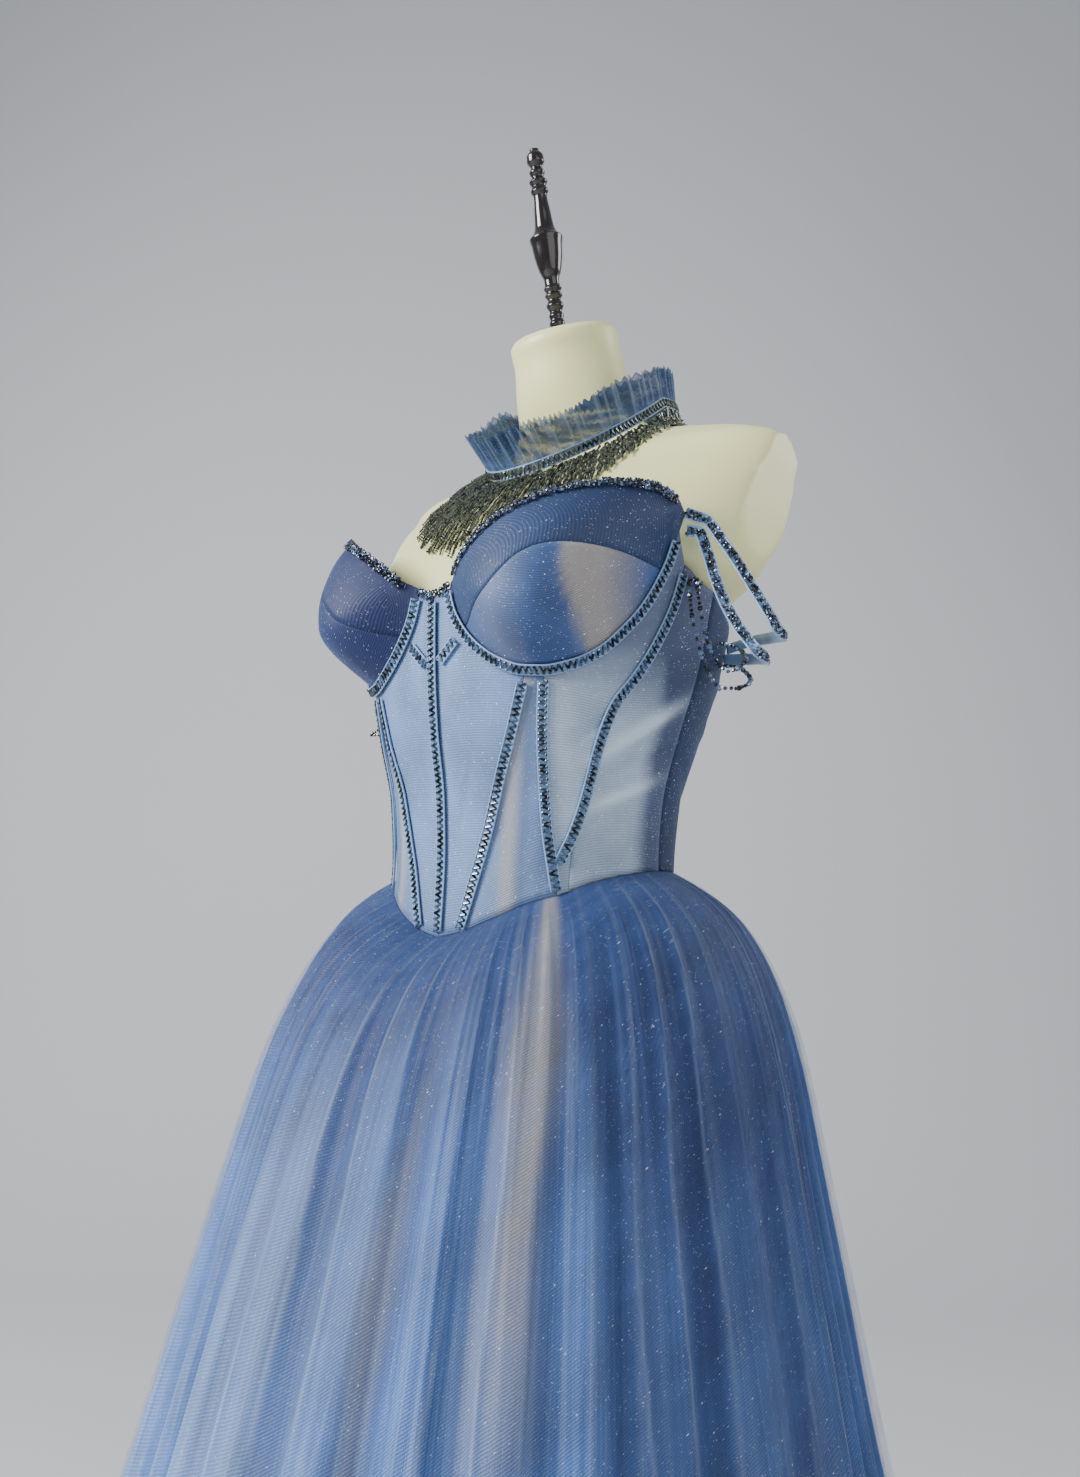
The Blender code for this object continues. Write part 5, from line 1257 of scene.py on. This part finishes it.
def trim_route(places, side, width=TRIM_WIDTH, depth=TRIM_DEPTH, lift=TRIM_LIFT):
    """Middle line of a band that rests on the cloth by both its edges, and the way that it faces."""
    places = mirrored(places, side)
    u, z = places[:, 0], places[:, 1]
    middle = bodice_surface(u, z)
    along = unit(np.gradient(middle, axis=0))
    around = (bodice_surface(u + 0.4, z) - bodice_surface(u - 0.4, z)) / 0.8
    across = unit(np.cross(along, unit(np.cross(around, along) * [1, 1, 0])))
    step_u = width / 2 * np.sum(across * around, -1) / np.sum(around * around, -1)
    step_z = width / 2 * across[:, 2]
    right, left = bodice_surface(u + step_u, z + step_z), bodice_surface(u - step_u, z - step_z)
    facing = unit(np.cross(right - left, along))
    facing = facing * np.sign(np.sum(facing * bodice_normal(u, z), -1))[:, None]
    rest = (right + left) / 2
    crown = np.clip(np.sum((middle - rest) * facing, -1), 0, None)
    return rest + (crown + lift + depth / 2)[:, None] * facing, facing


def sew_crystals(name, places, side, strip, seed, glass):
    """A strip of crystals along a line on the bodice."""
    route, facing = trim_route(places, side, 5.5 * MM, 2.6 * MM, 0.8 * MM)
    return crystal_cluster(name, route, facing, strip, -0.6 * MM, NECK_CRYSTALS, glass, seed)


def build_bands():
    ribbon = satin("band_satin", colour("satin"))
    glass = glass_bead("gunmetal_bugle", colour("bead"), colour("bugle"))
    profile = piped_profile(TRIM_WIDTH, TRIM_DEPTH, PIPE_RADIUS)
    bands = []
    for side_name, side in SIDES.items():
        underarm = [(45.8, 1.0555)] + UNDERARM_SEAM[1:-1] + [(76.2, 1.266)]
        bands += [
            (f"cup_band_{side_name}", between(CUP_WIRE, 0.02, 0.97, 61), side, 1.0 * MM),
            (f"vee_band_{side_name}", trace([(7.3, 1.2146), (2.3, 1.2002)], 7), side, TRIM_LIFT),
            (f"princess_band_{side_name}", between(PRINCESS_SEAM, 0.02, 0.95, 31), side, TRIM_LIFT),
            (f"side_front_band_{side_name}", between(SIDE_FRONT_SEAM, 0.02, 0.95, 28), side, TRIM_LIFT),
            (f"underarm_band_{side_name}", trace(underarm, 37), side, 1.1 * MM),
        ]
    centre = [(0, 1.0045), (0, 1.060), (0, 1.130), (0, 1.190), (0, 1.246)]
    bands.append(("centre_band", trace(centre, 37), 1, 1.2 * MM))
    for name, places, side, lift in bands:
        route, facing = trim_route(places, side, lift=lift)
        dress(sweep(f"{name}_satin", route, facing, profile, ribbon), "satin", name)
        for beads in zigzag_beads(name, route, facing, TRIM_DEPTH / 2, glass):
            dress(beads, "dark_beads")
    dip = trace([(-4.6, 1.2568), (-2.4, 1.2530), (0, 1.2515), (2.4, 1.2530), (4.6, 1.2568)], 21)
    dress(sew_crystals("centre_dip_crystals", dip, 1, 6.0 * MM, 8, glass), "dark_beads")
    neck = trace((np.array(NECKLINE) - [0, 0.0035])[1:-1], 46)
    for side_name, side in SIDES.items():
        made = sew_crystals(f"neckline_crystals_{side_name}", neck, side, 7.5 * MM, 7, glass)
        dress(made, "dark_beads", f"neckline_beads_{side_name}")


def build_frill():
    """Two layers of ragged, gathered tulle that stand over the choker's band."""
    frill = glitter_cloth("ruffle_tulle", colour("ruffle"), 30, 0.5, 0.6, alpha=0.72)
    table = np.array(RUFFLE_HEIGHT, float)
    around, share = np.meshgrid(np.linspace(0, 360, 721), np.linspace(0, 1, 14))
    turn = np.radians(around)
    start = CHOKER_BAND_WIDTH / 2 - 1.0 * MM
    for layer, (waves, sway, share_height) in enumerate(FRILL_LAYERS):
        height = smooth(table[:, 0], table[:, 1], 180 - np.abs(180 - around[0])) * share_height
        ragged = 1 + 0.07 * np.sin(turn[0] * 7 + layer) + 0.06 * np.sin(turn[0] * 139)
        height = (height * ragged)[None]
        wave = np.cos(turn * waves + 1.2 * np.sin(turn * 5 + layer) + 0.8 * share)
        lean = -1.0 * MM - 0.8 * MM * layer + share * RUFFLE_FLARE * height + (0.3 * MM + share * sway) * wave
        points = choker_point(around, -(start + share * height)) + lean[..., None] * choker_out(around)
        # Painted highlights along the crests of the frill's waves
        made = cloth(f"choker_frill_{layer + 1}", points, frill,
                     values={"edge": 0.22 * np.clip(wave - 0.85, 0, 1) * 6})
        if layer == 0:
            dress(made, "skirt_net", "choker_ruffle")
        else:
            dress(made, "skirt_net")


def build_choker():
    ribbon = satin("choker_satin", colour("satin"))
    glass = glass_bead("fringe_glass", colour("bead"), colour("olive"), darkest=0.1)
    v = np.linspace(0, 360, 181)
    facing = choker_out(v)
    route = choker_point(v) - CHOKER_BAND_DEPTH / 2 * facing
    profile = piped_profile(CHOKER_BAND_WIDTH, CHOKER_BAND_DEPTH, PIPE_RADIUS)
    dress(sweep("choker_band_satin", route, facing, profile, ribbon), "satin", "choker_band")
    for beads in zigzag_beads("choker_band", route, facing, CHOKER_BAND_DEPTH / 2, glass):
        dress(beads, "dark_beads")
    build_frill()
    build_fringe(glass)


def build_fringe(glass):
    """Strands of seed beads and bugles that lie over the chest."""
    random = np.random.default_rng(11)
    levels = form_levels()
    seeds, bugles, aims = [], [], []
    table = np.array(FRINGE_LENGTH, float)
    seed_bead = settings().seed
    for n in range(FRINGE_STRANDS):
        v = 360 * (n + random.uniform(-0.3, 0.3)) / FRINGE_STRANDS
        longest = float(smooth(table[:, 0], table[:, 1], 180 - abs(180 - v % 360)))
        route = fringe_route(v, longest * random.uniform(0.86, 1.02), 14, levels)
        along = lengths_along(route)
        wanted = np.arange(0, along[-1], seed_bead * 1.04)
        spots = np.stack([np.interp(wanted, along, route[:, i]) for i in range(3)], -1)
        spots[:, 2] += random.uniform(-2.2, 1.4) * MM
        spots[:, 0] += 0.8 * MM * np.sin(wanted / (3.2 * MM) + n)
        for i in range(len(spots) - 1):
            turn = (i + 5 * n) % 6
            if turn == 3:
                bugles.append((spots[i] + spots[i + 1]) / 2)
                aims.append(spots[i + 1] - spots[i])
            elif turn != 4:
                seeds.append(spots[i])
    upright = np.tile([0, 0, 1.0], (len(seeds), 1))
    seed_size = np.full((len(seeds), 3), seed_bead)
    made = sew_beads("fringe_seed_beads", seeds, upright, seed_size, glass, round_bead=True, seed=5)
    dress(made, "dark_beads", "choker_fringe")
    bugle_size = np.tile([FRINGE_BUGLE_WIDTH, FRINGE_BUGLE_WIDTH, 2 * seed_bead], (len(bugles), 1))
    dress(sew_beads("fringe_bugles", bugles, unit(np.array(aims)), bugle_size, glass, seed=6), "dark_beads")


def build_sleeves():
    ribbon = satin("strap_satin", colour("satin"))
    glass = glass_bead("strap_glass", colour("bead"), colour("bugle"))
    profile = piped_profile(STRAP_WIDTH, STRAP_DEPTH, 0.7 * MM)
    strap_lifts = (2 * TRIM_LIFT + TRIM_DEPTH + STRAP_DEPTH / 2, SEAM_GAP + STRAP_DEPTH / 2)
    strand_lifts = (SEAM_GAP + STRAND_RADIUS, SEAM_GAP + STRAND_RADIUS)
    for side_name, side in SIDES.items():
        centre = np.array([SLEEVE_CENTRE[0] * side, SLEEVE_CENTRE[1]])
        for seed, (name, spec) in enumerate(STRAPS.items(), 21):
            route = sleeve_route(spec, side, strap_lifts, 120)
            facing = unit(np.concatenate([route[:, :2] - centre, 0 * route[:, :1]], 1))
            made = sweep(f"{name}_satin_{side_name}", route, facing, profile, ribbon)
            dress(made, "satin", f"{name}_{side_name}")
            made = crystal_cluster(f"{name}_crystals_{side_name}", route, facing, STRAP_WIDTH * 0.62,
                                   STRAP_DEPTH / 2 - 0.3 * MM, STRAP_CRYSTALS, glass, seed)
            dress(made, "dark_beads")
        for name, spec in STRANDS.items():
            route = sleeve_route(spec, side, strand_lifts, 90)
            spots, aims = resample(route, unit(np.gradient(route, axis=0)), STRAND_BEAD * 1.05)
            sizes = np.where((np.arange(len(spots)) % 4 == 0)[:, None], 1.15, 0.8) * STRAND_BEAD
            made = sew_beads(f"{name}_beads_{side_name}", spots, aims, np.repeat(sizes, 3, 1), glass,
                             round_bead=True, seed=9)
            dress(made, "dark_beads", f"{name}_{side_name}")


def build_lacing(ribbon, profile):
    """Crossed pairs of ribbon between the back edges, the falling one over the rising one."""
    share = np.linspace(-1, 1, 21)
    for n, low in enumerate(LACING_RUNGS, 1):
        for layer, (direction, turn) in enumerate((("rise", share), ("fall", -share))):
            lift = SEAM_GAP + RIBBON_DEPTH / 2 + layer * (RIBBON_DEPTH + SEAM_GAP)
            places_u = 180 + LACING_REACH_U * turn
            places_z = low + LACING_RISE * (share + 1) / 2
            route, facing = off_bodice(places_u, places_z, lift), bodice_normal(places_u, places_z)
            made = sweep(f"lacing_ribbon_{n}_{direction}", route, facing, profile, ribbon)
            dress(made, "satin", f"lacing_{n}_{direction}")


def build_back():
    ribbon = satin("lacing_satin", colour("satin"))
    profile = ribbon_profile(RIBBON_WIDTH, RIBBON_DEPTH)
    build_lacing(ribbon, profile)
    knot = off_bodice(180.0, BOW_Z, BOW_LIFT)
    out = bodice_normal(180.0, BOW_Z)
    turn = np.linspace(0, 2 * math.pi, 16, endpoint=False)
    around = [(4.0 * MM * math.cos(a), 3.0 * MM * math.sin(a)) for a in turn]
    route = knot + np.linspace(-1, 1, 7)[:, None] * np.array([0, 0, 1]) * 4.0 * MM
    dress(sweep("bow_centre_knot", route, np.tile(out, (7, 1)), around, ribbon), "satin", "bow_knot")
    for side_name, side in SIDES.items():
        turn = np.radians(np.linspace(-165, 165, 49))
        along = BOW_LOOP * (1 + np.cos(turn)) / 2
        swell = BOW_LOOP_HEIGHT / 2 * np.sin(turn) * np.sqrt(along / BOW_LOOP)
        x = side * (3.6 * MM + along)
        z = BOW_Z - BOW_LOOP_DROP * along / BOW_LOOP + swell
        y = knot[1] + 2.0 * MM - along**2 * 4.0
        facing = np.stack([side * np.cos(turn), 0 * turn, np.sin(turn)], -1)
        made = sweep(f"bow_loop_ribbon_{side_name}", np.stack([x, y, z], -1), facing, profile, ribbon)
        dress(made, "satin", f"bow_loop_{side_name}")
        share = np.linspace(0, 1, 25)
        places_u = 180 - side * (3.4 + 7.0 * share)
        places_z = BOW_Z - 0.0046 - BOW_TAIL * share
        tail = off_bodice(places_u, places_z, 2 * SEAM_GAP + RIBBON_DEPTH / 2)
        made = sweep(f"bow_tail_ribbon_{side_name}", tail, bodice_normal(places_u, places_z), profile, ribbon)
        dress(made, "satin", f"bow_tail_{side_name}")


def build_finial(wood):
    """The turned finial, which leans with the neck's slanted top."""
    z, _, front, back, middle, _, slope = FORM_SECTIONS[-1]
    centre_y = (front + back) / 2 + FINIAL_OFFSET_Y
    centre_z = z + slope * (centre_y - middle)
    height = np.array([h for h, _ in FINIAL_PROFILE]) * MM
    radius = np.array([r for _, r in FINIAL_PROFILE]) * MM
    levels = np.unique(np.concatenate([height, np.linspace(0, height[-1], 160)]))
    turn, heights = np.meshgrid(np.linspace(0, 2 * math.pi, FINIAL_SIDES, endpoint=False), levels)
    reach = np.repeat(smooth(height[1:-1], radius[1:-1], levels)[:, None], FINIAL_SIDES, 1)
    x, y = reach * np.cos(turn), reach * np.sin(turn)
    lean = math.radians(FINIAL_LEAN)
    points = np.stack([x, y * math.cos(lean) - heights * math.sin(lean),
                       y * math.sin(lean) + heights * math.cos(lean)], -1)
    points = points + [0, centre_y, centre_z + FINIAL_LIFT]
    faces = closed_faces(len(levels), FINIAL_SIDES)
    dress(mesh_object("turned_finial", points.reshape(-1, 3), faces, wood), "turned_wood", "neck_finial")


def build_form():
    # Moulded shell under cream paint: half matt, with a wide soft highlight on the shoulders
    shell = plain("form_shell", colour("form"), 0.42, coat=0.15)
    # Turned wood under dark gloss lacquer: near black, with narrow bright highlights
    wood = plain("finial_wood", colour("wood"), 0.16, coat=0.8)
    # Painted steel: black and even, with a dull highlight
    steel = plain("stand_steel", colour("steel"), 0.4)
    rows = np.array([row[0] for row in FORM_SECTIONS])
    levels = np.unique(np.concatenate([np.linspace(a, b, 6) for a, b in zip(rows, rows[1:])]))
    rings = np.stack([form_ring(z, FORM_SIDES) for z in levels])
    torso = mesh_object("form_shell", rings.reshape(-1, 3), closed_faces(len(levels), FORM_SIDES), shell)
    torso.data.set_sharp_from_angle(angle=math.radians(35))
    dress(torso, "form_shell", "form_torso")
    build_finial(wood)
    for name in ("stand_foot", "stand_pole"):
        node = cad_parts[name]
        node.data.materials.clear()
        node.data.materials.append(steel)


def build_lights():
    for name, place, size, power in LIGHTS:
        data = bpy.data.lights.new(name, "AREA")
        data.energy = power
        data.size = size
        lamp = link(bpy.data.objects.new(name, data))
        lamp.location = place
        lamp.rotation_euler = (Vector(LIT_PLACE) - Vector(place)).to_track_quat("-Z", "Y").to_euler()
    world = bpy.data.worlds.new("studio")
    world.use_nodes = True
    background = world.node_tree.nodes["Background"]
    background.inputs[0].default_value = SKY
    background.inputs[1].default_value = SKY_STRENGTH
    bpy.context.scene.world = world


def build_camera(yaw):
    pitch, roll = math.radians(CAMERA_PITCH), math.radians(CAMERA_ROLL)
    ahead = Vector((-math.sin(yaw) * math.cos(pitch), math.cos(yaw) * math.cos(pitch), math.sin(pitch)))
    right = Vector((math.cos(yaw), math.sin(yaw), 0))
    up = right.cross(ahead)
    across = right * math.cos(roll) + up * math.sin(roll)
    upright = up * math.cos(roll) - right * math.sin(roll)
    data = bpy.data.cameras.new("photo_camera")
    data.lens = CAMERA_LENS
    data.sensor_width = 36
    camera = link(bpy.data.objects.new("photo_camera", data))
    camera.matrix_world = Matrix((across, upright, -ahead)).transposed().to_4x4()
    camera.location = CAMERA_PLACE
    bpy.context.scene.camera = camera


def build_stage():
    """Pale floor and backdrop, soft studio light and the photograph's camera."""
    # Studio paper: matt and even, so that it takes soft shadows
    paper = plain("studio_paper", colour("floor"), 0.8, mottle=0.01, scale=0.7)
    yaw = math.radians(CAMERA_YAW)
    away, aside = np.array([-math.sin(yaw), math.cos(yaw), 0]), np.array([math.cos(yaw), math.sin(yaw), 0])
    flat_end = PAPER_BACK - PAPER_BEND
    line = [(PAPER_FRONT, 0.0), (flat_end, 0.0)]
    line += [(flat_end + PAPER_BEND * math.sin(a), PAPER_BEND - PAPER_BEND * math.cos(a))
             for a in np.linspace(0.1, math.pi / 2, 12)]
    line += [(PAPER_BACK, PAPER_TOP)]
    points = [tuple(forward * away + side * PAPER_REACH * aside + np.array([0, 0, height]))
              for forward, height in line for side in (-1, 1)]
    faces = [[2 * i, 2 * i + 1, 2 * i + 3, 2 * i + 2] for i in range(len(line) - 1)]
    mesh_object("floor_and_backdrop", points, faces, paper)
    build_lights()
    build_camera(yaw)


def fields_of(rows, make):
    return {key: make(label, text, value) for key, label, text, value in rows}


class GownColours(bpy.types.PropertyGroup):
    """Colours of the gown, its form and the stage."""
    __annotations__ = fields_of(COLOUR_FIELDS, lambda label, text, value: bpy.props.FloatVectorProperty(
        name=label, description=text, default=linear(value), size=4, min=0, max=1, subtype="COLOR"))


class GownSizes(bpy.types.PropertyGroup):
    """Sizes of the beads and of the net."""
    __annotations__ = fields_of(SIZE_FIELDS, lambda label, text, value: bpy.props.FloatProperty(
        name=label, description=text, default=value, min=0.1 * MM, unit="LENGTH"))


class FormOperator(bpy.types.Operator):
    """Builds the dress form, its finial and its stand"""
    bl_idname = "gown.form"
    bl_label = "Dress form"

    def execute(self, context):
        build_form()
        return {"FINISHED"}


class BodiceOperator(bpy.types.Operator):
    """Builds the bodice panels and the cups"""
    bl_idname = "gown.bodice"
    bl_label = "Bodice"

    def execute(self, context):
        build_bodice()
        return {"FINISHED"}


class SkirtOperator(bpy.types.Operator):
    """Builds the skirt's tulle, veil and lining"""
    bl_idname = "gown.skirt"
    bl_label = "Skirt"

    def execute(self, context):
        build_skirt()
        return {"FINISHED"}


class BandsOperator(bpy.types.Operator):
    """Builds the beaded bands and the neckline's crystals"""
    bl_idname = "gown.bands"
    bl_label = "Beaded bands"

    def execute(self, context):
        build_bands()
        return {"FINISHED"}


class ChokerOperator(bpy.types.Operator):
    """Builds the choker's band, frill and fringe"""
    bl_idname = "gown.choker"
    bl_label = "Choker"

    def execute(self, context):
        build_choker()
        return {"FINISHED"}


class SleevesOperator(bpy.types.Operator):
    """Builds the straps and bead strands round the arms"""
    bl_idname = "gown.sleeves"
    bl_label = "Straps"

    def execute(self, context):
        build_sleeves()
        return {"FINISHED"}


class BackOperator(bpy.types.Operator):
    """Builds the lacing and the bow"""
    bl_idname = "gown.back"
    bl_label = "Lacing and bow"

    def execute(self, context):
        build_back()
        return {"FINISHED"}


class StageOperator(bpy.types.Operator):
    """Builds the floor, the lights and the camera"""
    bl_idname = "gown.stage"
    bl_label = "Stage"

    def execute(self, context):
        build_stage()
        return {"FINISHED"}


OPERATORS = (FormOperator, BodiceOperator, SkirtOperator, BandsOperator, ChokerOperator, SleevesOperator,
             BackOperator, StageOperator)


class GownPanel(bpy.types.Panel):
    """Lists the gown's pieces, sizes and colours"""
    bl_idname = "VIEW3D_PT_gown"
    bl_label = "Ball gown"
    bl_space_type = "VIEW_3D"
    bl_region_type = "UI"
    bl_category = "Gown"

    def draw(self, context):
        for operator in OPERATORS:
            self.layout.operator(operator.bl_idname)
        scene = context.scene
        for group, rows in ((scene.gown_sizes, SIZE_FIELDS), (scene.gown_colours, COLOUR_FIELDS)):
            for row in rows:
                self.layout.prop(group, row[0])


CLASSES = (GownColours, GownSizes) + OPERATORS + (GownPanel,)


def register():
    for entry in CLASSES:
        bpy.utils.register_class(entry)
    bpy.types.Scene.gown_colours = bpy.props.PointerProperty(type=GownColours)
    bpy.types.Scene.gown_sizes = bpy.props.PointerProperty(type=GownSizes)


def unregister():
    del bpy.types.Scene.gown_sizes
    del bpy.types.Scene.gown_colours
    for entry in reversed(CLASSES):
        bpy.utils.unregister_class(entry)


def main():
    register()
    bpy.ops.gown.form()
    bpy.ops.gown.bodice()
    bpy.ops.gown.skirt()
    bpy.ops.gown.bands()
    bpy.ops.gown.choker()
    bpy.ops.gown.sleeves()
    bpy.ops.gown.back()
    bpy.ops.gown.stage()


if __name__ == "__main__":
    main()
